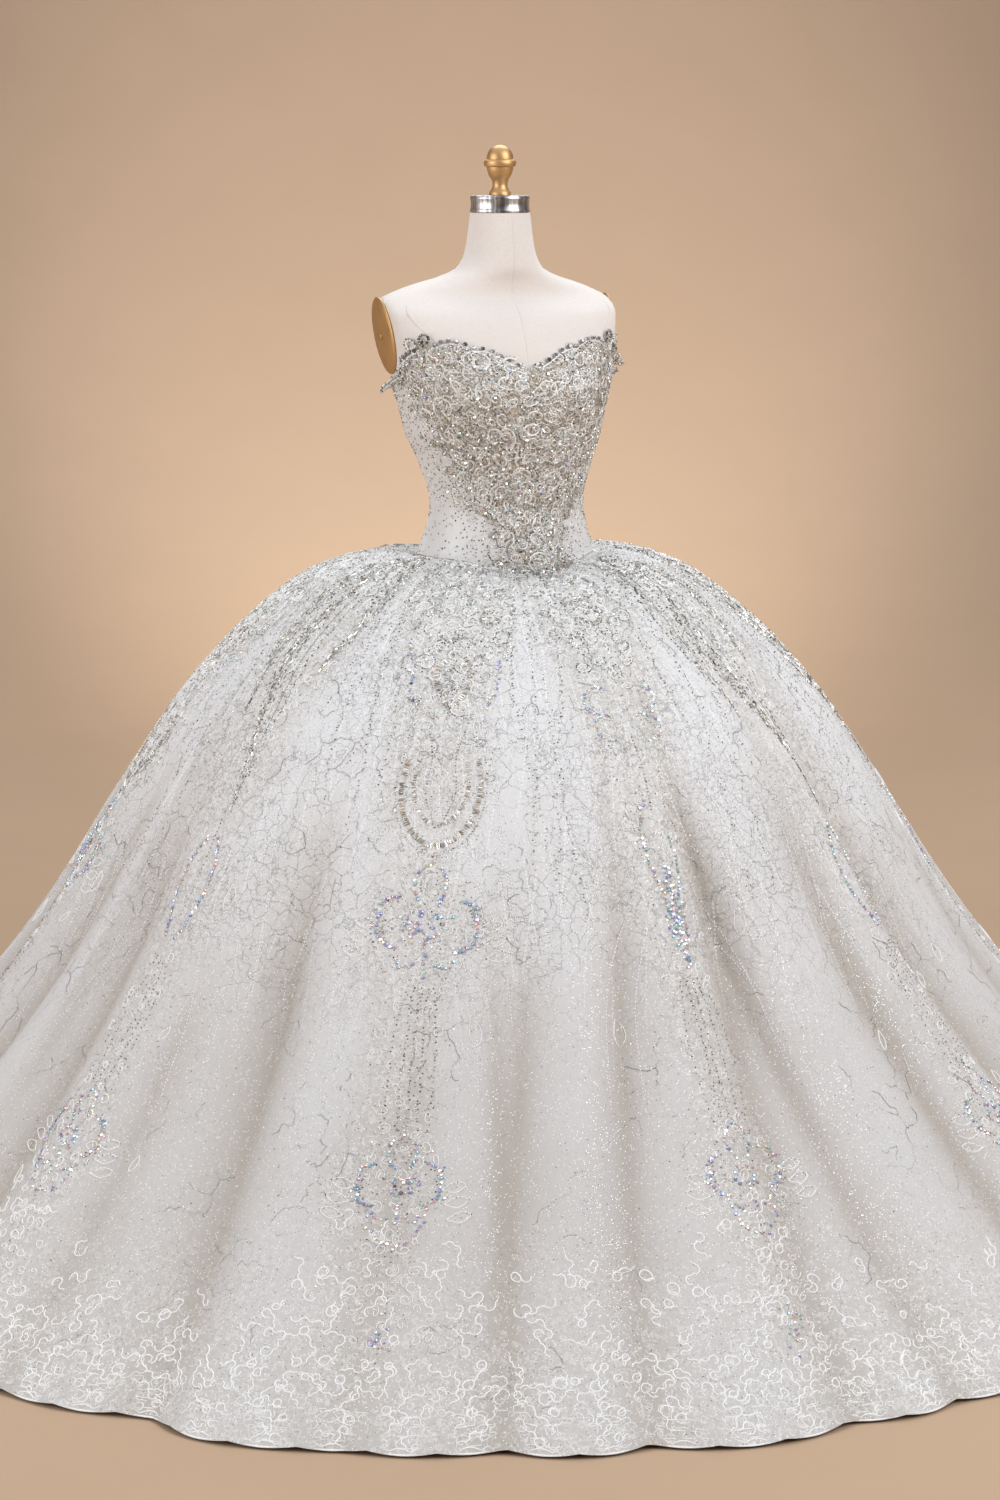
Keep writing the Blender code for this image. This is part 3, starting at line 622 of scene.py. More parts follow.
def net_material(name, ridge, valley, ground):
    """Glitter net over satin, sewn all over: cool on the ridges, with painted shade, darker and warmer, in
    the valleys.
    """
    n = Nodes(name)
    place = n.coordinates()
    cloth = n.coordinates("UV")
    lace = n.attribute("lace")
    threads = n.noise(n.stretched(cloth, (240.0, 22.0, 1.0)), 3.0, 5.0, 0.65)
    clouds = n.noise(place, 6.0, 5.0, 0.6)
    # The net's own colour on the ridges, mixed towards the painted valley shade by the depth attribute.
    toned = n.mix(n.attribute("depth"), ridge, valley)
    veil = n.ramp(threads, (0.30, 0.88), (0.70, 1.0))
    toned = n.mix(0.8, toned, veil, "MULTIPLY")
    toned = n.mix(0.8, toned, n.ramp(clouds, (0.30, (0.92, 0.905, 0.88)), (0.70, (1.0, 1.0, 1.0))),
                  "MULTIPLY")
    # Under dense embroidery the net takes a darker ground in ragged patches: partly the lace's own grey,
    # partly painted shade in the gaps between its cords and beads.
    ground_and_gap_shade = n.ramp(n.noise(place, 150.0, 3.0, 0.6), (0.38, 0.30), (0.60, 1.0))
    toned = n.mix(n.sum(lace, ground_and_gap_shade, "MULTIPLY"), toned, ground)

    dots = n.cells(place, 400.0)
    spot = n.sum(dots.outputs["Distance"], 0.30, "LESS_THAN")
    chance = n.add("ShaderNodeSeparateColor")
    n.link(dots.outputs["Color"], chance.inputs["Color"])
    chosen = n.sum(chance.outputs["Red"], 0.28, "LESS_THAN")
    glitter = n.sum(spot, chosen, "MULTIPLY")
    # The glitter dots shine a little of their own, and their random light and dark colours are painted
    # glints.
    spark = n.ramp(chance.outputs["Green"], (0.0, 0.26), (0.26, 0.50), (0.52, 0.82), (1.0, 0.96))

    bent = n.warped(place, 60.0, 0.016)
    strewn = n.ramp(n.cells(place, 600.0).outputs["Distance"], (0.25, 1.0), (0.48, 0.30))
    wide_parts = n.ramp(n.noise(place, 5.5, 3.0, 0.6), (0.36, 0.0), (0.48, 1.0))
    fine_parts = n.ramp(n.noise(place, 8.0, 3.0, 0.6), (0.44, 0.0), (0.56, 1.0))
    wide_web = n.sum(n.web(bent, 37.0, 0.034), wide_parts, "MULTIPLY")
    fine_web = n.sum(n.web(n.warped(place, 130.0, 0.009), 80.0, 0.050), fine_parts, "MULTIPLY")
    down = n.add("ShaderNodeSeparateXYZ")
    n.link(cloth, down.inputs["Vector"])
    high_up = n.ramp(down.outputs["Y"], (0.75, 1.0), (1.0, 0.12))
    webbing = n.sum(n.sum(wide_web, fine_web, "MAXIMUM"), strewn, "MULTIPLY")
    webbing = n.sum(webbing, high_up, "MULTIPLY")
    # The net is painted darker and a little warmer towards the hem, shade for the light falling off lower
    # down.
    toned = n.mix(1.0, toned, n.ramp(down.outputs["Y"], (0.55, (1.0, 1.0, 1.0)),
                                     (1.15, (0.84, 0.825, 0.81))), "MULTIPLY")
    toned = n.mix(n.sum(webbing, 0.95, "MULTIPLY"), toned, (0.15, 0.147, 0.143))

    zone = n.ramp(lace, (0.10, 0.0), (0.45, 1.0))
    broken = n.ramp(n.noise(place, 120.0, 2.0), (0.40, 0.0), (0.48, 1.0))
    small_bent = n.warped(place, 90.0, 0.010)
    curls = n.sum(n.rings(bent, 46.0, 0.36, 0.060), n.rings(small_bent, 80.0, 0.34, 0.085), "MAXIMUM")
    curls = n.sum(n.sum(curls, broken, "MULTIPLY"), n.sum(zone, 0.26, "MULTIPLY"), "MULTIPLY")
    strewn_seed = n.cells(place, 260.0)
    lot = n.add("ShaderNodeSeparateColor")
    n.link(strewn_seed.outputs["Color"], lot.inputs["Color"])
    seeds = n.sum(n.sum(strewn_seed.outputs["Distance"], 0.30, "LESS_THAN"),
                  n.sum(lot.outputs["Red"], 0.22, "LESS_THAN"), "MULTIPLY")
    seeds = n.sum(seeds, n.sum(n.sum(zone, 0.50, "MULTIPLY"), 0.30), "MULTIPLY")
    toned = n.mix(seeds, toned, n.ramp(lot.outputs["Green"], (0.0, (0.10, 0.10, 0.10)),
                                       (0.5, (0.30, 0.28, 0.25)), (1.0, (0.44, 0.40, 0.34))))
    dashes = n.sum(n.dashed(cloth, place, 3.4, 0.0), n.dashed(cloth, place, -3.4, 17.0), "MAXIMUM")
    dashes = n.sum(dashes, n.sum(high_up, 0.50, "MULTIPLY"), "MULTIPLY")
    sewn = n.sum(curls, dashes, "MAXIMUM")
    toned = n.mix(sewn, toned, (0.88, 0.88, 0.89))
    n.colour(n.mix(glitter, toned, spark))
    n.metal(n.sum(glitter, 0.15, "MULTIPLY"))
    n.rough(n.ramp(glitter, (0.0, 0.68), (1.0, 0.30)))
    n.put(Sheen_Weight=0.2, Sheen_Roughness=0.4)
    height = n.sum(n.noise(place, 700.0, 2.0), n.sum(threads, 0.6, "MULTIPLY"))
    n.bump(n.sum(height, n.sum(sewn, 1.2, "MULTIPLY")), 0.35, 0.0007)
    return n.material


def satin_material(name, colour):
    n = Nodes(name)
    place = n.coordinates()
    weave = n.noise(n.stretched(n.coordinates("UV"), (500.0, 60.0, 1.0)), 2.0, 3.0)
    clouds = n.noise(place, 18.0)
    n.colour(n.mix(0.6, colour, n.ramp(clouds, (0.3, 0.88), (0.7, 1.0)), "MULTIPLY"))
    n.rough(n.ramp(weave, (0.3, 0.42), (0.7, 0.58)))
    n.put(Sheen_Weight=0.2)
    n.bump(weave, 0.25, 0.0005)
    return n.material


def beaded_ground_material():
    """The ground under the bodice's beads: silver-grey lace, with painted shade in its dark grains and
    painted warm glints.
    """
    n = Nodes("beaded_ground")
    place = n.coordinates()
    ragged = n.sum(n.noise(place, 95.0, 3.0, 0.6), 0.62, "MULTIPLY")
    cover = n.ramp(n.sum(n.attribute("cover"), ragged, "SUBTRACT"), (0.10, 0.0), (0.30, 1.0))
    grain = n.cells(place, 420.0)
    chance = n.add("ShaderNodeSeparateColor")
    n.link(grain.outputs["Color"], chance.inputs["Color"])
    # Grains from dark to light: the dark ones are painted shade between beads and cords, the rest the
    # lace's own silver-grey.
    tones = n.ramp(chance.outputs["Red"], (0.0, (0.17, 0.162, 0.15)), (0.30, (0.35, 0.335, 0.31)),
                   (0.70, (0.55, 0.525, 0.49)), (1.0, (0.80, 0.79, 0.775)))
    # Warm patches over the grains, painted glints.
    warm = n.ramp(n.noise(place, 48.0, 3.0), (0.42, (0.80, 0.73, 0.65)), (0.56, (1.0, 1.0, 1.0)))
    tones = n.mix(1.0, tones, warm, "MULTIPLY")
    plain = n.mix(0.6, (0.66, 0.65, 0.64),
                  n.ramp(n.noise(place, 22.0), (0.3, 0.88), (0.7, 1.0)), "MULTIPLY")
    n.colour(n.mix(cover, plain, tones))
    n.metal(n.sum(cover, 0.20, "MULTIPLY"))
    n.rough(n.ramp(chance.outputs["Green"], (0.0, 0.25), (1.0, 0.65)))
    n.bump(n.sum(grain.outputs["Distance"], cover, "MULTIPLY"), 0.6, 0.0016)
    return n.material


def thread_material(name, light, dark, metallic, roughness, scale):
    """Cord or thread with a fine twist in its colour."""
    n = Nodes(name)
    place = n.coordinates()
    twist = n.noise(place, scale, 3.0)
    n.colour(n.ramp(twist, (0.32, dark), (0.62, light)))
    n.put(Metallic=metallic, Roughness=roughness, Sheen_Weight=0.15)
    n.bump(twist, 0.3, 0.0004)
    return n.material


def bead_material(name, stops, metallic, roughness):
    """Beads whose colour each takes from its own tone, with a little grime between them."""
    n = Nodes(name)
    tone = n.attribute("tone")
    wear = n.noise(n.coordinates(), 160.0, 2.0)
    n.colour(n.mix(0.5, n.ramp(tone, *stops), n.ramp(wear, (0.3, 0.8), (0.7, 1.0)), "MULTIPLY"))
    n.rough(n.ramp(wear, (0.3, roughness + 0.08), (0.7, roughness)))
    n.put(Metallic=metallic, Coat_Weight=0.4, Coat_Roughness=0.08)
    return n.material


def linen_material():
    n = Nodes("linen_cover")
    place = n.coordinates()
    warp = n.noise(n.stretched(place, (900.0, 900.0, 120.0)), 1.0, 2.0)
    weft = n.noise(n.stretched(place, (140.0, 140.0, 950.0)), 1.0, 2.0)
    cloth = n.sum(warp, weft)
    clouds = n.noise(place, 9.0, 4.0)
    slub = n.mix(0.55, (0.735, 0.684, 0.650), n.ramp(cloth, (0.75, 0.86), (1.25, 1.0)), "MULTIPLY")
    n.colour(n.mix(0.7, slub, n.ramp(clouds, (0.3, 0.93), (0.7, 1.0)), "MULTIPLY"))
    n.put(Roughness=0.88, Sheen_Weight=0.2)
    n.bump(cloth, 0.30, 0.0006)
    return n.material


def metal_material(name, colour, metallic, low, high, scratch):
    """A worked metal: fine turned lines, smudges and a little wear."""
    n = Nodes(name)
    place = n.coordinates()
    lines = n.noise(n.stretched(place, (20.0, 20.0, scratch)), 1.0, 4.0)
    smudge = n.noise(place, 30.0, 4.0)
    n.colour(n.mix(0.6, colour, n.ramp(smudge, (0.25, 0.78), (0.7, 1.0)), "MULTIPLY"))
    n.put(Metallic=metallic)
    n.rough(n.ramp(smudge, (0.3, low), (0.75, high)))
    n.bump(lines, 0.08, 0.0003)
    return n.material


def steel_material():
    """Turned steel, its colour in soft upright stripes, lighter and darker round the ring, that are
    painted reflections.
    """
    n = Nodes("steel_cap")
    place = n.coordinates()
    painted_reflections = n.noise(n.stretched(place, (44.0, 44.0, 0.0)), 1.0, 3.0, 0.6)
    lines = n.noise(n.stretched(place, (30.0, 30.0, 900.0)), 1.0, 4.0)
    # The light and dark stripes in the steel's colour are painted reflections.
    n.colour(n.ramp(painted_reflections, (0.36, (0.15, 0.15, 0.16)), (0.46, (0.34, 0.34, 0.36)),
                    (0.53, (0.80, 0.81, 0.84)), (0.62, (0.27, 0.27, 0.29))))
    n.put(Metallic=1.0)
    n.rough(n.ramp(lines, (0.3, 0.30), (0.7, 0.42)))
    n.bump(lines, 0.08, 0.0003)
    return n.material


RAINBOW = ((0.00, (0.07, 0.075, 0.08)), (0.12, (0.86, 0.87, 0.88)), (0.24, (0.34, 0.62, 0.66)),
           (0.36, (0.32, 0.40, 0.70)), (0.50, (0.58, 0.48, 0.70)), (0.62, (0.86, 0.62, 0.62)),
           (0.74, (0.84, 0.74, 0.56)), (0.84, (0.50, 0.72, 0.62)), (0.93, (0.95, 0.95, 0.96)))
# Silver bead colours along each bead's tone: dark to mid silver, then a warm stop and a near-white end
# that are painted glints.
SILVERS = ((0.0, (0.035, 0.035, 0.035)), (0.30, (0.16, 0.155, 0.15)), (0.60, (0.46, 0.45, 0.43)),
           (0.80, (0.56, 0.47, 0.35)), (1.0, (0.93, 0.93, 0.93)))
PALES = ((0.0, (0.36, 0.335, 0.30)), (0.5, (0.66, 0.63, 0.58)), (1.0, (0.92, 0.91, 0.90)))

# The net's own colour on the ridges, the painted shade of the valleys, and the darker ground under dense
# embroidery, partly its own colour and partly painted shade.
NET = net_material("glitter_net", (0.700, 0.708, 0.728), (0.490, 0.456, 0.420), (0.482, 0.459, 0.428))
SATIN = satin_material("white_satin", (0.70, 0.695, 0.69))
GROUND = beaded_ground_material()
CORD = thread_material("white_cord", (0.84, 0.84, 0.84), (0.64, 0.63, 0.61), 0.0, 0.75, 900.0)
LACE_CORD = thread_material("lace_cord", (0.85, 0.85, 0.855), (0.70, 0.695, 0.685), 0.0, 0.85, 900.0)
PALE_CORD = thread_material("bodice_cord", (0.84, 0.83, 0.81), (0.52, 0.49, 0.455), 0.15, 0.36, 420.0)
SILVER_THREAD = thread_material("silver_thread", (0.50, 0.50, 0.50), (0.12, 0.12, 0.12), 0.6, 0.35,
                                420.0)
SILVER_BEAD = bead_material("silver_bead", SILVERS, 0.75, 0.22)
PALE_BEAD = bead_material("pale_bead", PALES, 0.35, 0.28)
CRYSTAL_STONE = bead_material("crystal", RAINBOW, 0.55, 0.10)
LINEN = linen_material()
SEAM = thread_material("linen_seam", (0.71, 0.66, 0.62), (0.62, 0.57, 0.54), 0.0, 0.9, 300.0)
STEEL = steel_material()
GOLD = metal_material("gold_lacquer", (0.62, 0.385, 0.175), 0.85, 0.40, 0.54, 700.0)
IRON = metal_material("black_enamel", (0.035, 0.035, 0.038), 0.4, 0.35, 0.5, 200.0)


# Mesh makers


def keep(obj, smooth_shade=True):
    """Put a finished piece into the scene and let it ride on the body."""
    bpy.context.scene.collection.objects.link(obj)
    if smooth_shade:
        obj.data.shade_smooth()
    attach(obj, BODY)
    return obj


def grid_faces(rows, columns, closed=False):
    """Quads of a grid with rows going down and columns going to +angle, facing out."""
    i = np.arange(rows - 1)[:, None]
    j = np.arange(columns if closed else columns - 1)[None, :]
    k = (j + 1) % columns
    return np.stack([i * columns + j, (i + 1) * columns + j, (i + 1) * columns + k,
                     i * columns + k], axis=-1).reshape(-1, 4)


def shell(name, outer, inner, material, attributes, uv):
    """A closed thin wall between two grids of points, rows down and columns to +angle."""
    rows, columns = outer.shape[:2]
    count = rows * columns
    front = grid_faces(rows, columns)
    number = np.arange(count).reshape(rows, columns)
    ring = np.concatenate([number[0, :-1], number[:-1, -1], number[-1, :0:-1], number[:0:-1, 0]])
    after = np.roll(ring, -1)
    rim = np.stack([ring, after, after + count, ring + count], axis=-1)
    faces = np.concatenate([front, front[:, ::-1] + count, rim])
    mesh = bpy.data.meshes.new(name)
    mesh.from_pydata(np.concatenate([outer.reshape(-1, 3), inner.reshape(-1, 3)]).tolist(), [],
                     faces.tolist())
    for key, values in attributes.items():
        layer = mesh.attributes.new(key, "FLOAT", "POINT")
        layer.data.foreach_set("value", np.tile(np.asarray(values, np.float32).ravel(), 2))
    loops = np.zeros(len(mesh.loops), np.int32)
    mesh.loops.foreach_get("vertex_index", loops)
    layer = mesh.uv_layers.new(name="cloth")
    layer.data.foreach_set("uv", uv.reshape(-1, 2)[loops % count].astype(np.float32).ravel())
    mesh.materials.append(material)
    obj = keep(bpy.data.objects.new(name, mesh))
    mesh.set_sharp_from_angle(angle=math.radians(60))
    return obj


class Pile:
    """Many small things joined into one mesh, each with a tone of its own."""

    def __init__(self):
        self.points = []
        self.faces = []
        self.tones = []
        self.count = 0

    def add(self, points, faces, tones):
        """points is (n, k, 3), faces is one item's faces, tones is one number an item."""
        n, k = points.shape[:2]
        if n == 0:
            return
        offset = (self.count + np.arange(n) * k)[:, None, None]
        self.points.append(points.reshape(-1, 3))
        self.faces.extend((np.asarray(faces)[None] + offset).reshape(n * len(faces), -1).tolist())
        self.tones.append(np.repeat(tones, k))
        self.count += n * k

    def triangles(self):
        return sum(len(f) - 2 for f in self.faces)

    def finish(self, name, material, slot, smooth_shade=False):
        mesh = bpy.data.meshes.new(name)
        mesh.from_pydata(np.concatenate(self.points).tolist(), [], self.faces)
        layer = mesh.attributes.new("tone", "FLOAT", "POINT")
        layer.data.foreach_set("value", np.concatenate(self.tones).astype(np.float32))
        mesh.materials.append(material)
        return keep(bpy.data.objects.new(name, mesh), smooth_shade)


SEED_POINTS = np.array([(1, 0, 0), (0, 1, 0), (-1, 0, 0), (0, -1, 0), (0, 0, 1)]) * 0.5
SEED_FACES = [(0, 1, 4), (1, 2, 4), (2, 3, 4), (3, 0, 4)]
BUGLE_POINTS = np.array([(x, y, z) for y in (-1, 1) for x, z in ((-1, 0), (0, 1), (1, 0), (0, -1))]) * 0.5
BUGLE_FACES = [(0, 4, 5), (0, 5, 1), (1, 5, 6), (1, 6, 2), (2, 6, 7), (2, 7, 3), (3, 7, 4), (3, 4, 0),
               (0, 1, 2), (0, 2, 3), (6, 5, 4), (7, 6, 4)]


FLAT_POINTS = np.array([(1, 0, 0), (0, 1, 0), (-1, 0, 0), (0, -1, 0)]) * 0.5
FLAT_FACES = [(0, 1, 2, 3)]
DASH_POINTS = np.array([(-0.5, 0, -0.1), (0, 0.5, -0.1), (0.5, 0, -0.1), (0, -0.5, -0.1), (0, 0, 0.5)])
DASH_FACES = [(0, 4, 1), (1, 4, 2), (2, 4, 3), (3, 4, 0)]


def crystal_template(sides=6):
    turn = np.arange(sides) * 2 * math.pi / sides
    rim = np.stack([0.5 * np.cos(turn), 0.5 * np.sin(turn), 0 * turn], axis=-1)
    table = np.stack([0.27 * np.cos(turn + 0.5), 0.27 * np.sin(turn + 0.5), 0 * turn + 0.36], axis=-1)
    faces = []
    for i in range(sides):
        j = (i + 1) % sides
        faces += [(i, j, sides + i), (j, sides + j, sides + i)]
    faces += [(sides, sides + i, sides + i + 1) for i in range(1, sides - 1)]
    faces += [(0, i + 1, i) for i in range(1, sides - 1)]
    return np.concatenate([rim, table]), faces


CRYSTAL_POINTS, CRYSTAL_FACES = crystal_template()


def tilted(where, draw, amount):
    """The same places with their outward directions tipped a little each way."""
    point, sideways, down, normal = where
    tip = draw.normal(0, amount, (len(point), 2))
    outward = unit(normal + tip[:, :1] * sideways + tip[:, 1:] * down)
    flat = unit(np.cross(down, outward))
    return point, flat, unit(np.cross(flat, outward)), outward


def place_items(pile, template, faces, where, size, spin, tones):
    """Lay copies of a template on a surface. where is (point, sideways, down, normal)."""
    point, sideways, down, normal = where
    if len(point) == 0:
        return
    size = np.broadcast_to(np.asarray(size, float), (len(point), 3))
    spin = np.broadcast_to(np.asarray(spin, float), (len(point),))
    ahead = sideways * np.cos(spin)[:, None] + down * np.sin(spin)[:, None]
    across = np.cross(normal, ahead)
    local = template[None] * size[:, None]
    points = (point[:, None] + local[..., 0:1] * across[:, None] + local[..., 1:2] * ahead[:, None]
              + local[..., 2:3] * normal[:, None])
    pile.add(points, faces, np.broadcast_to(np.asarray(tones, float), (len(point),)))


def add_ribbons(pile, surface_frame, u, v, width, height, tones, lift=0.0):
    """Cords with a roof section along paths u, v of shape (paths, points) on a surface."""
    shape = u.shape
    where = surface_frame(u.ravel(), v.ravel(), lift)
    point, _, _, normal = (part.reshape(*shape, 3) for part in where)
    ahead = np.gradient(point, axis=1)
    across = unit(np.cross(normal, ahead))
    width = np.broadcast_to(np.asarray(width, float), shape)[..., None] / 2
    left = point - across * width - normal * 0.0002
    right = point + across * width - normal * 0.0002
    top = point + normal * height
    points = np.stack([left, top, right], axis=2).reshape(shape[0], shape[1] * 3, 3)
    faces = []
    for i in range(shape[1] - 1):
        a = 3 * i
        faces += [(a, a + 1, a + 4, a + 3), (a + 1, a + 2, a + 5, a + 4)]
    pile.add(points, faces, tones)


def lathe(name, profile, base, steps, material):
    """A turned piece from (radius, z) pairs listed top to bottom, closed at both ends."""
    profile = np.asarray(profile, float)
    turn = np.arange(steps) * 2 * math.pi / steps
    ring = np.stack([profile[:, None, 0] * np.cos(turn), profile[:, None, 0] * np.sin(turn),
                     profile[:, None, 1] + base + 0 * turn], axis=-1)
    points = np.concatenate([ring.reshape(-1, 3), [[0, 0, profile[0, 1] + base]],
                             [[0, 0, profile[-1, 1] + base]]])
    rows = len(profile)
    faces = grid_faces(rows, steps, closed=True).tolist()
    top, bottom = rows * steps, rows * steps + 1
    last = (rows - 1) * steps
    for j in range(steps):
        k = (j + 1) % steps
        faces += [(j, k, top), (last + k, last + j, bottom)]
    mesh = bpy.data.meshes.new(name)
    mesh.from_pydata(points.tolist(), [], faces)
    mesh.materials.append(material)
    obj = keep(bpy.data.objects.new(name, mesh))
    mesh.set_sharp_from_angle(angle=math.radians(42))
    return obj


# The skirt's gores and hem lace


def skirt_shade(angle, along):
    """0 on ridges to 1 in valleys: the painted shade in the folds, the creases and between the gathers."""
    z = profile_at(along)[1]
    length = np.interp(along, ALONG_STEPS, ALONG_LENGTHS)
    gathers = gather_height(angle, along) + fine_pleats(angle, along)
    shade = fold_shade(angle, z) + np.clip(crease_depth(angle, length) / 0.012, 0, 0.4)
    # Painted shade between the gathers near the waist.
    shade = shade + np.clip(0.40 - gathers / 0.005, 0, 0.40) * (1 - step_between(2.5, 5.5, along))
    return np.clip(shade, 0, 1)


# Bands down each column: the place, the half width and how strongly the net darkens under the embroidery
# there, partly with painted shade.
LaceBand = namedtuple("LaceBand", "length half_width strength")
LACE_BANDS = [
    LaceBand(0.00, 0.050, 0.5), LaceBand(0.10, 0.075, 0.8), LaceBand(0.20, 0.110, 0.90),
    LaceBand(0.33, 0.100, 0.90), LaceBand(0.45, 0.080, 0.75), LaceBand(0.56, 0.090, 0.65),
    LaceBand(0.66, 0.060, 0.5), LaceBand(0.76, 0.095, 0.5), LaceBand(0.88, 0.060, 0.45),
    LaceBand(1.03, 0.055, 0.45), LaceBand(1.17, 0.095, 0.5), LaceBand(1.28, 0.070, 0.45),
    LaceBand(1.40, 0.070, 0.5), LaceBand(1.57, 0.140, 0.6),
]


def lace_share(angle, length):
    """How much of the net is covered by embroidery, 0 to 1, for the darker ground under it: partly the
    lace's own colour and partly painted shade.
    """
    spacing = 360.0 / MOTIF_COLUMNS
    apart = (angle - COLUMN_START + spacing / 2) % spacing - spacing / 2
    x = np.radians(apart) * skirt_radius(length)
    table = [band.length for band in LACE_BANDS]
    wide = np.interp(length, table, [band.half_width for band in LACE_BANDS])
    strong = np.interp(length, table, [band.strength for band in LACE_BANDS])
    column = strong * (1 - step_between(0.55, 1.25, np.abs(x) / wide))
    hem = 0.50 * step_between(1.05, 1.56, length)
    dome = 0.20 * (1 - step_between(0.10, 0.42, length))
    return np.clip(np.maximum(np.maximum(column, hem), dome), 0, 1)


def build_gores():
    for gore in GORES:
        count = round((gore.end - gore.start) / SKIRT_STEP)
        rows = np.append(np.linspace(0.0, 1.0, SKIRT_FINE_ROWS + 1)[:-1], [1.0 - SEAM_ROW, 1.0])
        angle, length = np.meshgrid(np.linspace(gore.start, gore.end, count + 1), rows)
        length = LACE_LENGTH * length ** 1.25
        along = along_of(length)
        outer = skirt_point(angle, along)
        inner = skirt_point(angle, along, -CLOTH_THICKNESS)
        uv = np.stack([angle / 360 * 2 * math.pi * HEM_RADIUS, length], axis=-1)
        name = "skirt_" + gore.suffix
        # depth carries the painted valley shade; lace sets the darker ground under the embroidery, partly
        # painted shade.
        obj = shell("cloth_" + name, outer, inner, NET,
                    {"depth": skirt_shade(angle, along), "lace": lace_share(angle, length)}, uv)
        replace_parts(obj, name)
        wide = math.radians(gore.end - gore.start) * profile_at(LACE_ROW)[0] * 1.04


def hem_scallop(angle, along):
    """How far the lace's lower edge rises between two scallops."""
    phase = SCALLOPS * np.radians(angle) / 2
    share = np.clip((along - LACE_ROW) / (SKIRT_ROWS - LACE_ROW), 0, 1)
    return SCALLOP_SOFTENED * SCALLOP_DEPTH * (1 - np.abs(np.sin(phase))) * share ** 4


def lace_point(angle, along, lift=0.0):
    point = skirt_point(angle, along, lift)
    point[..., 2] += hem_scallop(angle, along)
    return point


def build_hem_lace():
    for gore in GORES:
        count = round((gore.end - gore.start) / LACE_STEP)
        rows = np.linspace(LACE_ROW, SKIRT_ROWS, LACE_FINE_ROWS + 1)
        rows = np.insert(rows, 1, LACE_ROW + 5 * SEAM_ROW)
        angle, along = np.meshgrid(np.linspace(gore.start, gore.end, count + 1), rows)
        outer = lace_point(angle, along)
        inner = lace_point(angle, along, -CLOTH_THICKNESS)
        length = np.interp(along, ALONG_STEPS, ALONG_LENGTHS)
        uv = np.stack([angle / 360 * 2 * math.pi * HEM_RADIUS, length], axis=-1)
        name = "hem_lace_" + gore.suffix
        # depth carries the painted valley shade; lace sets the darker ground under the embroidery, partly
        # painted shade.
        obj = shell("cloth_" + name, outer, inner, NET,
                    {"depth": skirt_shade(angle, along), "lace": lace_share(angle, length)}, uv)
        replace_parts(obj, name)


# The bodice's panels


def build_bodice():
    for panel in BODICE_PANELS:
        start = panel.start + (0.35 if panel.start == -180 else 0)
        end = panel.end - (0.35 if panel.end == 180 else 0)
        count = round((end - start) / BODICE_STEP)
        angle, share = np.meshgrid(np.linspace(start, end, count + 1),
                                   np.linspace(1.0, 0.0, BODICE_FINE_ROWS + 1))
        bottom = edge_at(BASQUE, angle)
        z = bottom + (edge_at(NECKLINE, angle) - bottom) * share
        outer = bodice_point(angle, z)
        skin, normal, _ = torso_frame(angle, z)
        inner = skin + normal * ease(z)[..., None]
        back = "back" in panel.name
        uv = np.stack([np.radians(angle) * APPLIQUE_RADIUS, z], axis=-1)
        obj = shell("cloth_" + panel.name, outer, inner, SATIN if back else GROUND,
                    {"cover": art_share(angle, z)}, uv)
        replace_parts(obj, panel.name)
        wide = float(np.linalg.norm(np.diff(outer[0], axis=0), axis=1).sum())
        tall = max(float(np.linalg.norm(np.diff(outer[:, side], axis=0), axis=1).sum())
                   for side in (0, -1))


# Sketches of beads and cords, drawn flat and then laid on a surface


def curve_points(points, count):
    """A soft curve through a few points, with count places along it."""
    points = np.asarray(points, float)
    reach = np.concatenate([[0.0], np.cumsum(np.linalg.norm(np.diff(points, axis=0), axis=1))])
    if len(points) == 2:
        at = np.linspace(0, reach[-1], count)
        return np.stack([np.interp(at, reach, points[:, k]) for k in (0, 1)], axis=-1)
    slopes = np.gradient(points, reach, axis=0)
    at = np.linspace(0, reach[-1], count)
    i = np.clip(np.searchsorted(reach, at) - 1, 0, len(points) - 2)
    gap = (reach[i + 1] - reach[i])[:, None]
    t = ((at - reach[i])[:, None]) / gap
    start = points[i] * (1 + 2 * t) * (1 - t) ** 2 + points[i + 1] * t * t * (3 - 2 * t)
    return start + gap * (slopes[i] * t * (1 - t) ** 2 - slopes[i + 1] * t * t * (1 - t))


def curve_length(points):
    fine = curve_points(points, 60)
    return float(np.linalg.norm(np.diff(fine, axis=0), axis=1).sum())


def spiral(x, y, radius, start, turns, hand, count):
    """A curl that winds in from its rim; start is in turns and hand is 1 or -1."""
    share = np.linspace(0, 1, count)
    turn = 2 * math.pi * (start + hand * turns * share)
    size = radius * (1 - 0.72 * share)
    return np.stack([x + size * np.cos(turn), y + size * np.sin(turn)], axis=-1)


def squashed(points, centre, share, turn):
    """Points drawn in towards a line through the centre, which makes rings into ovals."""
    way = np.array([math.cos(turn), math.sin(turn)])
    off = points - centre
    along = (off @ way)[:, None] * way
    return centre + along + share * (off - along)


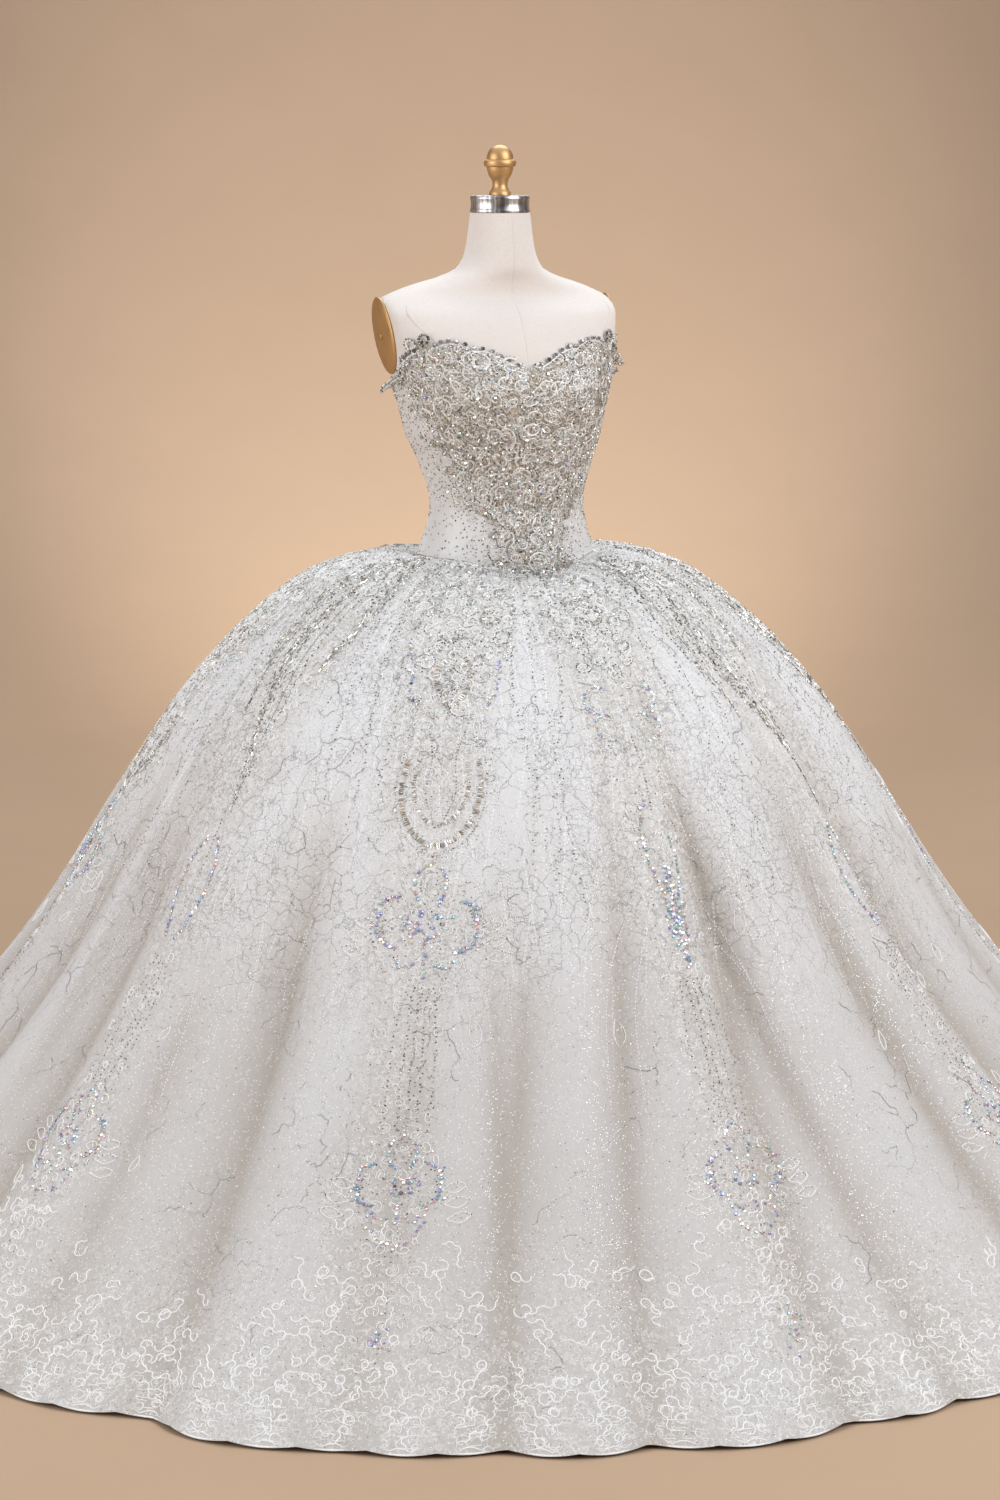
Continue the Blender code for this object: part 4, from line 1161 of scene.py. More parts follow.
class Sketch:
    """Beads and cords in metres: x to the wearer's left, y down the cloth."""

    def __init__(self, draw):
        self.draw = draw
        self.beads = {"seed": [], "bugle": [], "crystal": [], "dash": []}
        self.cords = {"white": [], "silver": []}

    def bead(self, kind, x, y, spin, size, tone):
        self.beads[kind].append((x, y, spin, size, tone))

    def chain(self, points, spacing, kind, size=1.0, tone=(0.0, 1.0), across=False, wander=0.0):
        """Beads threaded along a curve, lying along it or across it."""
        count = max(2, round(curve_length(points) / spacing) + 1)
        places = curve_points(points, count)
        ways = np.gradient(places, axis=0)
        for (x, y), (dx, dy) in zip(places, ways):
            spin = math.atan2(dy, dx) + (math.pi / 2 if across else 0.0)
            self.bead(kind, x + self.draw.normal(0, wander), y + self.draw.normal(0, wander),
                      spin + self.draw.normal(0, 0.12), size * self.draw.uniform(0.85, 1.12),
                      self.draw.uniform(*tone))

    def scatter(self, inside, box, spacing, kind, size=1.0, tone=(0.0, 1.0)):
        """Beads strewn over an area; inside gives the share kept at each x, y."""
        x0, y0, x1, y1 = box
        columns = max(1, round((x1 - x0) / spacing))
        rows = max(1, round((y1 - y0) / spacing))
        x, y = np.meshgrid(np.linspace(x0, x1, columns), np.linspace(y0, y1, rows))
        x = x.ravel() + self.draw.uniform(-0.5, 0.5, x.size) * spacing
        y = y.ravel() + self.draw.uniform(-0.5, 0.5, y.size) * spacing
        kept = self.draw.uniform(0, 1, x.size) < inside(x, y)
        for px, py in zip(x[kept], y[kept]):
            self.bead(kind, px, py, self.draw.uniform(0, 2 * math.pi),
                      size * self.draw.uniform(0.75, 1.2), self.draw.uniform(*tone))

    def cord(self, kind, points, width=CORD_WIDTH):
        self.cords[kind].append((np.asarray(points), width))

    def curls(self, inside, box, spacing, kind, radius, width=CORD_WIDTH, count=12, beaded=0.0):
        """Curls strewn over an area, each with its own size, start and hand."""
        x0, y0, x1, y1 = box
        for row, y in enumerate(np.arange(y0, y1, spacing * 0.87)):
            for x in np.arange(x0 + (row % 2) * spacing / 2, x1, spacing):
                px = x + self.draw.normal(0, 0.16) * spacing
                py = y + self.draw.normal(0, 0.16) * spacing
                if self.draw.uniform() > inside(px, py):
                    continue
                curl = spiral(px, py, radius * self.draw.uniform(0.75, 1.25), self.draw.uniform(),
                              self.draw.uniform(0.8, 1.3), self.draw.choice([-1, 1]), count)
                curl = squashed(curl, np.array([px, py]), self.draw.uniform(0.52, 0.95),
                                self.draw.uniform(0, math.pi))
                self.cord(kind, curl, width)
                if self.draw.uniform() < beaded:
                    rim = np.array([px, py]) + (curl[::2] - (px, py)) * 1.22
                    self.chain(rim, 0.0044, "seed", 1.1, (0.0, 1.0))


def petals(art, inside, box, spacing, long):
    """Small leaf outlines strewn over an area, pointing every way."""
    x0, y0, x1, y1 = box
    for px in np.arange(x0, x1, spacing):
        for py in np.arange(y0, y1, spacing):
            x = px + art.draw.uniform(-0.5, 0.5) * spacing
            y = py + art.draw.uniform(-0.5, 0.5) * spacing
            if art.draw.uniform() > inside(x, y):
                continue
            turn = art.draw.uniform(0, 2 * math.pi)
            size = long * art.draw.uniform(0.8, 1.25)
            leaf = [(0, 0), (0.35, 0.26), (0.75, 0.20), (1, 0), (0.75, -0.20), (0.35, -0.26), (0, 0)]
            turned = [(x + size * (a * math.cos(turn) - b * math.sin(turn)),
                       y + size * (a * math.sin(turn) + b * math.cos(turn))) for a, b in leaf]
            art.cord("white", curve_points(turned, 13), 0.0017)


class Trim:
    """Meshes that collect the beads and cords of many sketches on one surface."""

    def __init__(self, surface_frame):
        self.surface_frame = surface_frame
        self.piles = {key: Pile() for key in ("silver", "pale", "crystal", "white", "thread",
                                              "dashes")}

    def lay(self, sketch, to_surface):
        """to_surface turns a sketch's x and y into the surface's own two coordinates."""
        kinds = {"seed": (SEED_POINTS, SEED_FACES, (SEED, SEED, SEED * 0.8)),
                 "bugle": (BUGLE_POINTS, BUGLE_FACES, (BUGLE[0], BUGLE[1], BUGLE[0])),
                 "crystal": (CRYSTAL_POINTS, CRYSTAL_FACES, (CRYSTAL, CRYSTAL, CRYSTAL * 0.75)),
                 "dash": (DASH_POINTS, DASH_FACES, DASH)}
        for kind, (template, faces, full) in kinds.items():
            if not sketch.beads[kind]:
                continue
            x, y, spin, size, tone = np.array(sketch.beads[kind]).T
            u, v = to_surface(x, y)
            where = self.surface_frame(u, v, 0.0004)
            if kind != "dash":
                where = tilted(where, sketch.draw, 0.22)
            if kind in ("crystal", "dash"):
                pick = np.full(len(x), 0 if kind == "crystal" else 3)
            else:
                pick = np.where(sketch.draw.uniform(0, 1, len(x)) < 0.62, 1, 2)
            for chosen, pile in ((0, "crystal"), (1, "silver"), (2, "pale"), (3, "dashes")):
                mask = pick == chosen
                place_items(self.piles[pile], template, faces, [w[mask] for w in where],
                            np.array(full) * size[mask, None], spin[mask], tone[mask])
        for kind, pile, height in (("white", "white", 0.0013), ("silver", "thread", 0.0009)):
            groups = {}
            for points, width in sketch.cords[kind]:
                groups.setdefault((len(points), width), []).append(points)
            for (_, width), paths in groups.items():
                paths = np.array(paths)
                u, v = to_surface(paths[..., 0], paths[..., 1])
                add_ribbons(self.piles[pile], self.surface_frame, u, v, width, height,
                            sketch.draw.uniform(0, 1, len(paths)))

    def finish(self, name, white, slot):
        materials = {"silver": SILVER_BEAD, "pale": PALE_BEAD, "crystal": CRYSTAL_STONE,
                     "white": white, "thread": SILVER_THREAD, "dashes": LACE_CORD}
        for key, pile in self.piles.items():
            if pile.count:
                pile.finish(name + "_" + key, materials[key], slot,
                            smooth_shade=key in ("white", "thread"))


# The skirt's embroidery


COLUMN_NUDGES = (0.3, -1.1, 0.4, -0.5, 0.6, -0.7, 0.5, 0.8, -0.6, 0.4, 1.9)
COLUMNS = [(COLUMN_START + 360.0 / MOTIF_COLUMNS * k + nudge + 180) % 360 - 180
           for k, nudge in enumerate(COLUMN_NUDGES)]
IRIDESCENT = (0.12, 0.95)
BRIGHT = (0.45, 1.0)
DARK = (0.0, 0.6)


def arc(x, y, radius, start, end, count=7):
    """Points on an arc, start and end in degrees from +x towards +y."""
    turn = np.radians(np.linspace(start, end, count))
    return [(x + radius * math.cos(t), y + radius * math.sin(t)) for t in turn]


def crown(art, half_width, bottom):
    """The dense lace and beads from the waist seam down the dome, with a ragged edge."""
    shift = art.draw.uniform(0, 6.28)

    def inside(x, y):
        wide = half_width * np.interp(y, [0.0, 0.08, 0.20, 0.32, bottom], [0.32, 0.48, 1.0, 0.80, 0.35])
        ragged = 0.16 * np.sin(95 * y + shift + 30 * x) + 0.13 * np.sin(160 * x - 60 * y + shift)
        return 1 - step_between(0.70, 1.15, np.abs(x) / wide * (1 + ragged))
    box = (-1.1 * half_width, 0.008, 1.1 * half_width, bottom)
    art.curls(lambda x, y: 0.90 * inside(x, y), box, 0.0250, "white", 0.0120, 0.0026, 13, beaded=0.35)
    art.curls(lambda x, y: 0.60 * inside(x, y), box, 0.028, "silver", 0.0125, 0.0020, 14, beaded=0.35)
    petals(art, lambda x, y: 0.45 * inside(x, y), box, 0.026, 0.017)
    art.scatter(lambda x, y: 0.50 * inside(x, y), box, 0.0070, "seed", 0.92, (0.0, 1.0))
    art.scatter(lambda x, y: 0.30 * inside(x, y), box, 0.022, "crystal", 0.70, (0.80, 1.0))
    for k in range(5):
        y = 0.06 + (bottom - 0.10) * (k + art.draw.uniform(0.2, 0.8)) / 5
        x = art.draw.uniform(-0.5, 0.5) * half_width
        turn = art.draw.uniform(0, 360)
        art.chain(arc(x, y, 0.016, turn, turn + 215, 8), 0.0046, "seed", 1.1, (0.0, 0.45))
        art.chain(arc(x, y, 0.011, turn + 20, turn + 190, 8), 0.0034, "bugle", 0.75, BRIGHT, across=True)


def trail(art, points, width, shade):
    """A tapered band of beads: dark strings along its edges with curls and beads between."""
    count = 26
    line = curve_points(points, count)
    way = unit(np.gradient(line, axis=0))
    side = np.stack([-way[:, 1], way[:, 0]], axis=-1)
    share = np.linspace(0, 1, count)
    half = 0.5 * width * np.sin(math.pi * np.clip(share, 0.04, 0.97) ** 0.75)[:, None]
    for hand in (-1, 1):
        art.chain(line + hand * half * side, 0.0058, "seed", 1.35, shade, wander=0.0013)
    art.chain(line + 0.35 * half * side, 0.0085, "bugle", 1.1, (0.3, 1.0), wander=0.0018)
    art.cord("silver", line - 0.4 * half * side, 0.0024)
    for k in range(count):
        for _ in range(max(1, round(float(half[k, 0]) / 0.0036))):
            at = line[k] + art.draw.uniform(-1, 1) * half[k] * side[k] + way[k] * art.draw.uniform(
                -0.008, 0.008)
            art.bead("seed", at[0], at[1], art.draw.uniform(0, 6.28), art.draw.uniform(0.95, 1.45),
                     art.draw.uniform(0.1, 1.0))
        if k % 2 == 0 and half[k, 0] > 0.004:
            at = line[k] + art.draw.uniform(-0.6, 0.6) * half[k] * side[k]
            curl = spiral(at[0], at[1], max(0.005, 0.62 * float(half[k, 0])), art.draw.uniform(), 1.0,
                          art.draw.choice([-1, 1]), 12)
            art.cord(art.draw.choice(["white", "silver"]), curl, 0.0019)


def medallion(art, y, half_width, height, stones):
    """Stones in two side arcs, a top loop and a cluster with a stem, lace leaves outside."""
    s = half_width / 0.070
    w = half_width
    h = height
    for hand in (-1, 1):
        lift = art.draw.uniform(-0.005, 0.005)
        side = [(hand * s * px, y + lift + s * py) for px, py in (
            (0.045, -0.040), (0.059, -0.037), (0.068, -0.014), (0.069, 0.010), (0.060, 0.028),
            (0.043, 0.034))]
        art.chain(side, 0.0060, "crystal", 1.0 * stones, IRIDESCENT, wander=0.0010)
        art.chain([(1.13 * px, py + 0.003) for px, py in side[1:5]], 0.0072, "crystal", 0.62 * stones,
                  (0.0, 0.95), wander=0.0024)
        art.chain([(0.90 * px, py) for px, py in side], 0.0052, "seed", 0.95, (0.0, 0.9), wander=0.0009)
        low = [(hand * s * 0.040, y + 0.050 * s), (hand * s * 0.028, y + 0.062 * s),
               (hand * s * 0.016, y + 0.058 * s)]
        art.chain(low, 0.0070, "crystal", 0.85 * stones, IRIDESCENT, wander=0.0016)
        for k in range(3):
            x0 = hand * w * (1.02 + 0.10 * k)
            y0 = y + h * (0.02 + 0.15 * k)
            leaf = [(x0, y0), (x0 + hand * 0.020, y0 - 0.012), (x0 + hand * 0.034, y0 - 0.008),
                    (x0 + hand * 0.022, y0 + 0.004), (x0, y0)]
            art.cord("white", curve_points(leaf, 12), 0.0021)
            art.chain(leaf[:3], 0.0060, "seed", 0.9, (0.0, 1.0))
    loop = [(s * px, y + s * py) for px, py in (
        (-0.012, -0.030), (-0.022, -0.050), (-0.019, -0.076), (0.0, -0.090), (0.019, -0.076),
        (0.022, -0.052), (0.013, -0.030))]
    art.chain(loop, 0.0058, "crystal", 0.90 * stones, IRIDESCENT, wander=0.0011)
    art.chain([(0.62 * px, y - 0.060 * s + 0.62 * (py - y + 0.060 * s)) for px, py in loop], 0.0050,
              "seed", 0.9, (0.2, 1.0), wander=0.0008)

    def bunch(x, yy):
        apart = np.hypot(x / (0.026 * s), (yy - y) / (0.019 * s))
        return np.exp(-((apart - 0.75) / 0.42) ** 2)
    art.scatter(bunch, (-0.04 * s, y - 0.032 * s, 0.04 * s, y + 0.032 * s), 0.0068, "crystal",
                1.0 * stones, (0.0, 0.75))
    art.chain([(-0.001, y + 0.020 * s), (0.002, y + 0.075 * s)], 0.0064, "crystal", 0.85 * stones,
              IRIDESCENT, wander=0.0012)
    art.chain([(-0.003, y - 0.105 * s), (0.0, y - 0.092 * s)], 0.0052, "seed", 1.1, (0.0, 1.0))

    def near(x, yy):
        return 1 - step_between(0.7, 1.3, np.hypot(x / w, (yy - y) / (h * 0.62)))
    box = (-w * 1.35, y - h * 0.75, w * 1.35, y + h * 0.75)
    art.scatter(lambda x, yy: 0.42 * near(x, yy), box, 0.0080, "seed", 0.85, (0.0, 1.0))
    art.scatter(lambda x, yy: 0.12 * near(x, yy), box, 0.016, "crystal", 0.66 * stones, IRIDESCENT)
    art.curls(lambda x, yy: 0.70 * near(x, yy), box, 0.028, "white", 0.0105, 0.0019, 10)


def stripe(art, top, bottom, half_width):
    """Upright rows of small dark beads between two medallions."""
    for share in (-1.0, -0.45, 0.0, 0.5, 1.0):
        x = share * half_width
        sway = art.draw.uniform(-0.006, 0.006)
        path = [(x * 0.6, top), (x + sway, (2 * top + bottom) / 3), (x, bottom)]
        art.chain(path, 0.0085 if abs(share) > 0.7 else 0.0066, "seed", 0.95, (0.0, 0.5), wander=0.0013)
    art.scatter(lambda x, y: 0.6 * np.exp(-(x / (1.2 * half_width)) ** 2),
                (-2 * half_width, top, 2 * half_width, bottom), 0.0105, "seed", 0.8, (0.0, 1.0))
    art.curls(lambda x, y: 0.55, (-1.4 * half_width, top, 1.4 * half_width, bottom), 0.036, "white",
              0.0110, 0.0018)


def lower_column(art):
    """The stripe, second medallion, stem and cluster that every column ends with."""
    stripe(art, 0.86, 1.08, 0.032)
    medallion(art, 1.165, 0.060, 0.15, 0.92)
    cup = [(-0.042, 1.205), (-0.036, 1.232), (-0.018, 1.252), (0.0, 1.258), (0.020, 1.250),
           (0.036, 1.230), (0.043, 1.202)]
    art.chain(cup, 0.0082, "crystal", 0.85, IRIDESCENT, wander=0.0022)
    art.chain([(0.0, 1.25), (0.004, 1.33), (0.0, 1.44)], 0.0075, "seed", 0.9, (0.0, 1.0))
    art.scatter(lambda x, y: np.exp(-(x / 0.012) ** 2 - ((y - 1.40) / 0.026) ** 2),
                (-0.024, 1.35, 0.024, 1.45), 0.0068, "crystal", 0.90, IRIDESCENT)
    art.curls(lambda x, y: 0.75 * (1 - step_between(0.6, 1.1, np.abs(x) / (0.03 + 0.35 * (y - 1.22)))),
              (-0.10, 1.24, 0.10, 1.42), 0.026, "white", 0.0105, 0.0019)


def shield_column(art):
    """Crown, teardrop, bugle shield and a wide medallion."""
    crown(art, 0.092, 0.44)
    drop = [(-0.006, 0.315), (-0.026, 0.345), (-0.020, 0.385), (0.0, 0.412), (0.018, 0.388),
            (0.026, 0.350), (0.010, 0.318)]
    art.chain(drop, 0.0034, "bugle", 0.9, BRIGHT, across=True)
    art.chain([(x * 0.55, y * 0.55 + 0.163) for x, y in drop], 0.0045, "seed", 0.85, DARK)
    shield = [(-0.052, 0.500), (-0.059, 0.550), (-0.052, 0.594), (-0.030, 0.628), (0.0, 0.642),
              (0.030, 0.628), (0.052, 0.594), (0.059, 0.550), (0.052, 0.500)]
    art.chain(shield, 0.0034, "bugle", 1.05, BRIGHT, across=True)
    art.chain([(1.16 * x, 1.16 * (y - 0.55) + 0.55) for x, y in shield], 0.0046, "seed", 0.9, (0.0, 1.0))
    art.chain([(0.70 * x, 0.72 * (y - 0.55) + 0.542) for x, y in shield], 0.0040, "bugle", 0.8, BRIGHT,
              across=True)
    for hand in (-1, 1):
        art.chain([(hand * 0.030, 0.440), (hand * 0.018, 0.500), (hand * 0.022, 0.560),
                   (hand * 0.004, 0.612)], 0.0052, "seed", 0.9, DARK)
        art.chain([(hand * 0.078, 0.300), (hand * 0.064, 0.335), (hand * 0.066, 0.370),
                   (hand * 0.052, 0.415)], 0.0062, "crystal", 0.80, (0.0, 0.9), wander=0.0020)
    def inside(x, y):
        wide = np.interp(y, [0.40, 0.50, 0.62, 0.68], [0.075, 0.088, 0.070, 0.030])
        return 1 - step_between(0.8, 1.1, np.abs(x) / wide)
    box = (-0.09, 0.40, 0.09, 0.67)
    art.curls(lambda x, y: 0.9 * inside(x, y), box, 0.023, "white", 0.0095, 0.0019)
    art.curls(lambda x, y: 0.20 * inside(x, y), box, 0.026, "silver", 0.0095, 0.0014)
    art.scatter(lambda x, y: 0.42 * inside(x, y), box, 0.0088, "seed", 0.8, (0.0, 1.0))
    medallion(art, 0.765, 0.074, 0.15, 1.0)
    lower_column(art)


def drop_column(art):
    """Crown, a pair of double curls and a narrow drop packed with iridescent stones."""
    crown(art, 0.070, 0.37)
    for hand in (-1, 1):
        for y, size in ((0.405, 0.026), (0.452, 0.022)):
            art.chain(arc(hand * 0.032, y, size, -120 if hand > 0 else 300, 100 if hand > 0 else 80, 9),
                      0.0056, "crystal", 0.78, IRIDESCENT, wander=0.0012)
            art.chain(arc(hand * 0.032, y, size * 0.66, -110 if hand > 0 else 290,
                          90 if hand > 0 else 90, 7), 0.0042, "seed", 0.9, BRIGHT)
    side = [(-0.008, 0.575), (-0.023, 0.615), (-0.025, 0.655), (-0.012, 0.715), (0.0, 0.79)]
    art.chain(side, 0.0068, "crystal", 0.98, IRIDESCENT, wander=0.0011)
    art.chain([(-0.9 * x, y + 0.02) for x, y in side[1:]], 0.0070, "crystal", 0.92, IRIDESCENT,
              wander=0.0014)
    art.chain([(1.4 * x, y - 0.008) for x, y in side[:4]], 0.0054, "seed", 0.95, BRIGHT, wander=0.0010)
    art.scatter(lambda x, y: 1 - step_between(0.6, 1.1, np.abs(x) / np.interp(
        y, [0.68, 0.74, 0.79, 0.84], [0.004, 0.020, 0.015, 0.003])),
        (-0.024, 0.68, 0.024, 0.84), 0.0058, "crystal", 0.95, IRIDESCENT)
    art.chain([(0.0, 0.47), (0.004, 0.53), (0.0, 0.59)], 0.0058, "seed", 1.0, DARK)

    def inside(x, y):
        wide = np.interp(y, [0.36, 0.48, 0.60, 0.84], [0.072, 0.060, 0.050, 0.040])
        return 1 - step_between(0.75, 1.1, np.abs(x) / wide)
    box = (-0.075, 0.36, 0.075, 0.86)
    art.curls(lambda x, y: 0.75 * inside(x, y), box, 0.026, "white", 0.0100, 0.0019)
    art.scatter(lambda x, y: 0.30 * inside(x, y), box, 0.0095, "seed", 0.8, (0.0, 1.0))
    lower_column(art)


def spray_column(art):
    """Silver trails that fan out over the dome, the longest run out into a point."""
    crown(art, 0.046, 0.20)
    trail(art, [(0.006, 0.05), (-0.004, 0.18), (-0.018, 0.32), (-0.004, 0.46), (0.010, 0.62)], 0.050,
          (0.1, 0.8))
    trail(art, [(0.018, 0.05), (0.046, 0.15), (0.058, 0.27), (0.040, 0.36)], 0.026, (0.1, 0.9))
    trail(art, [(-0.016, 0.05), (-0.056, 0.18), (-0.078, 0.32), (-0.066, 0.45)], 0.034, (0.1, 0.8))
    trail(art, [(-0.010, 0.20), (-0.040, 0.30), (-0.030, 0.42), (-0.006, 0.52)], 0.022, (0.1, 0.9))

    def inside(x, y):
        wide = np.interp(y, [0.10, 0.24, 0.36, 0.52], [0.030, 0.062, 0.066, 0.018])
        return 1 - step_between(0.8, 1.2, np.abs(x) / wide)
    box = (-0.08, 0.10, 0.08, 0.54)
    art.curls(lambda x, y: 0.50 * inside(x, y), box, 0.025, "white", 0.0100, 0.0020)
    art.scatter(lambda x, y: 0.28 * inside(x, y), box, 0.0080, "seed", 0.90, (0.0, 0.9))
    for hand in (-1, 1):
        art.chain([(hand * 0.010, 0.665), (hand * 0.026, 0.70), (hand * 0.030, 0.755),
                   (hand * 0.012, 0.83)], 0.0066, "crystal", 0.9, IRIDESCENT, wander=0.0010)
    art.chain([(0.0, 0.62), (0.004, 0.72), (0.0, 0.84)], 0.0068, "seed", 1.0, DARK)
    lower_column(art)


def feathers(art):
    """White dashed strokes and dotted silver swags over the cloth beside a column."""
    for hand in (-1, 1):
        for k in range(9):
            y = 0.20 + 0.070 * k + art.draw.uniform(-0.018, 0.018)
            x = hand * (0.050 + 0.012 * art.draw.uniform(-1, 1))
            long = art.draw.uniform(0.18, 0.36)
            lean = art.draw.uniform(0.25, 0.50)
            path = [(x, y), (x + hand * lean * long * 0.55, y + long * 0.45),
                    (x + hand * lean * long * 0.85, y + long)]
            path = [(px, min(py, 1.50)) for px, py in path]
            art.chain(path, 0.0058, "dash", 1.15, wander=0.0003)
        for k in range(3):
            x = hand * (0.045 + 0.020 * k)
            end = art.draw.uniform(0.42, 0.78)
            path = [(0.6 * x, 0.04), (1.2 * x, 0.16), (1.6 * x, 0.27), (1.9 * x, 0.38),
                    (2.0 * x, 0.5 * (0.38 + end)), (2.1 * x, end)]
            path = [(px + art.draw.normal(0, 0.006), py) for px, py in path]
            art.chain(path, 0.0066, "seed", 1.0, (0.1, 0.9), wander=0.0022)
    for k in range(4):
        hand = art.draw.choice([-1, 1])
        y = art.draw.uniform(0.60, 1.25)
        x = hand * art.draw.uniform(0.06, 0.14)
        turn = art.draw.uniform(-0.5, 0.5)
        leaf = np.array([(0, 0), (0.012, 0.016), (0.010, 0.040), (0, 0.052), (-0.008, 0.034),
                         (-0.004, 0.014), (0, 0)]) * art.draw.uniform(0.5, 0.9)
        leaf = leaf @ np.array([(math.cos(turn), math.sin(turn)), (-math.sin(turn), math.cos(turn))])
        art.cord("white", curve_points(leaf + (x, y), 12), 0.0017)


def column_placer(centre):
    def to_surface(x, y):
        return centre + np.degrees(x / skirt_radius(y)), y
    return to_surface


def build_columns():
    """Eleven embroidered columns round the skirt, no two alike in every bead."""
    designs = {0: drop_column, 1: spray_column, 2: shield_column}
    order = [0, 1, 1, 2, 0, 2, 1, 0, 2, 1, 2]
    trim = Trim(skirt_frame)
    for k, centre in enumerate(COLUMNS):
        art = Sketch(np.random.default_rng(100 + k))
        designs[order[k]](art)
        feathers(art)
        trim.lay(art, column_placer(centre))
    trim.finish("skirt_trim", CORD, "net")


def conformal_table():
    """Depth down the skirt measured so that it and the angle keep shapes true."""
    length = np.linspace(0.0, SKIRT_LENGTH, 801)
    radius = skirt_radius(length)
    steps = np.diff(length) * 2 / (radius[1:] + radius[:-1])
    return length, np.concatenate([[0.0], np.cumsum(steps)])


CRACKLE_CELL = 0.037
CRACKLE_TOP = 0.16
CRACKLE_SEGMENTS = 4
CRACKLE_DOTS = 6
CRACKLE_DOT = 0.0016


def crackle_edges():
    """The sides of random cells over the skirt, as pairs of angle and length."""
    draw = np.random.default_rng(5)
    table_length, table_depth = conformal_table()
    points = []
    for length in np.arange(CRACKLE_TOP, 1.50, CRACKLE_CELL):
        count = round(2 * math.pi * float(skirt_radius(length)) / CRACKLE_CELL)
        for k in range(count):
            turn = 2 * math.pi * (k + draw.uniform(-0.55, 0.55)) / count - math.pi
            at = length + draw.uniform(-0.55, 0.55) * CRACKLE_CELL
            points.append((turn, float(np.interp(at, table_length, table_depth))))
    margin = 0.5
    wrapped = [(t + 2 * math.pi, d) for t, d in points if t < margin - math.pi]
    wrapped += [(t - 2 * math.pi, d) for t, d in points if t > math.pi - margin]
    every = [Vector(p) for p in points + wrapped]
    corners, _, faces, *_ = geometry.delaunay_2d_cdt(every, [], [], 0, 1e-7)
    corners = np.array([tuple(c) for c in corners])
    triangles = np.array([f for f in faces if len(f) == 3])
    a, b, c = (corners[triangles[:, k]] for k in range(3))
    ab, ac = b - a, c - a
    area = 2 * (ab[:, 0] * ac[:, 1] - ab[:, 1] * ac[:, 0])
    size_b, size_c = (ab ** 2).sum(axis=1), (ac ** 2).sum(axis=1)
    centre = a + np.stack([(ac[:, 1] * size_b - ab[:, 1] * size_c) / area,
                           (ab[:, 0] * size_c - ac[:, 0] * size_b) / area], axis=-1)
    sides = {}
    pairs = []
    for number, triangle in enumerate(triangles.tolist()):
        for k in range(3):
            key = tuple(sorted((triangle[k], triangle[(k + 1) % 3])))
            if key in sides:
                pairs.append((sides[key], number))
            else:
                sides[key] = number
    pairs = np.array(pairs)
    ends = np.stack([centre[pairs[:, 0]], centre[pairs[:, 1]]], axis=1)
    middle = ends.mean(axis=1)
    size = np.linalg.norm(ends[:, 1] - ends[:, 0], axis=1)
    within = (np.abs(middle[:, 0]) <= math.pi) & (size > 0.006) & (size < 0.25)
    within &= (ends[:, :, 1].min(axis=1) > 0) & (ends[:, :, 1].max(axis=1) < table_depth[-1] * 0.985)
    ends = ends[within]
    return ends, table_length, table_depth


POINT_ANGLE = -4.0


def build_basque_point():
    """The beadwork that runs from the basque over the top of the skirt to a point."""
    art = Sketch(np.random.default_rng(57))

    def inside(x, y):
        wide = np.interp(y, [0.0, 0.035, 0.075, 0.110], [0.074, 0.052, 0.026, 0.003])
        ragged = 0.15 * np.sin(210 * x + 90 * y)
        return 1 - step_between(0.75, 1.15, np.abs(x) / wide * (1 + ragged))
    box = (-0.080, 0.000, 0.080, 0.116)
    art.curls(inside, box, 0.0200, "white", 0.0092, 0.0024, 13, beaded=0.7)
    art.curls(inside, box, 0.0150, "silver", 0.0070, 0.0020, 12)
    art.scatter(lambda x, y: 0.95 * inside(x, y), box, 0.0050, "seed", 1.15, (0.0, 0.62))
    art.scatter(lambda x, y: 0.60 * inside(x, y), box, 0.014, "crystal", 0.80, (0.85, 1.0))
    trim = Trim(skirt_frame)
    trim.lay(art, column_placer(POINT_ANGLE))
    trim.finish("basque_point", PALE_CORD, "net")


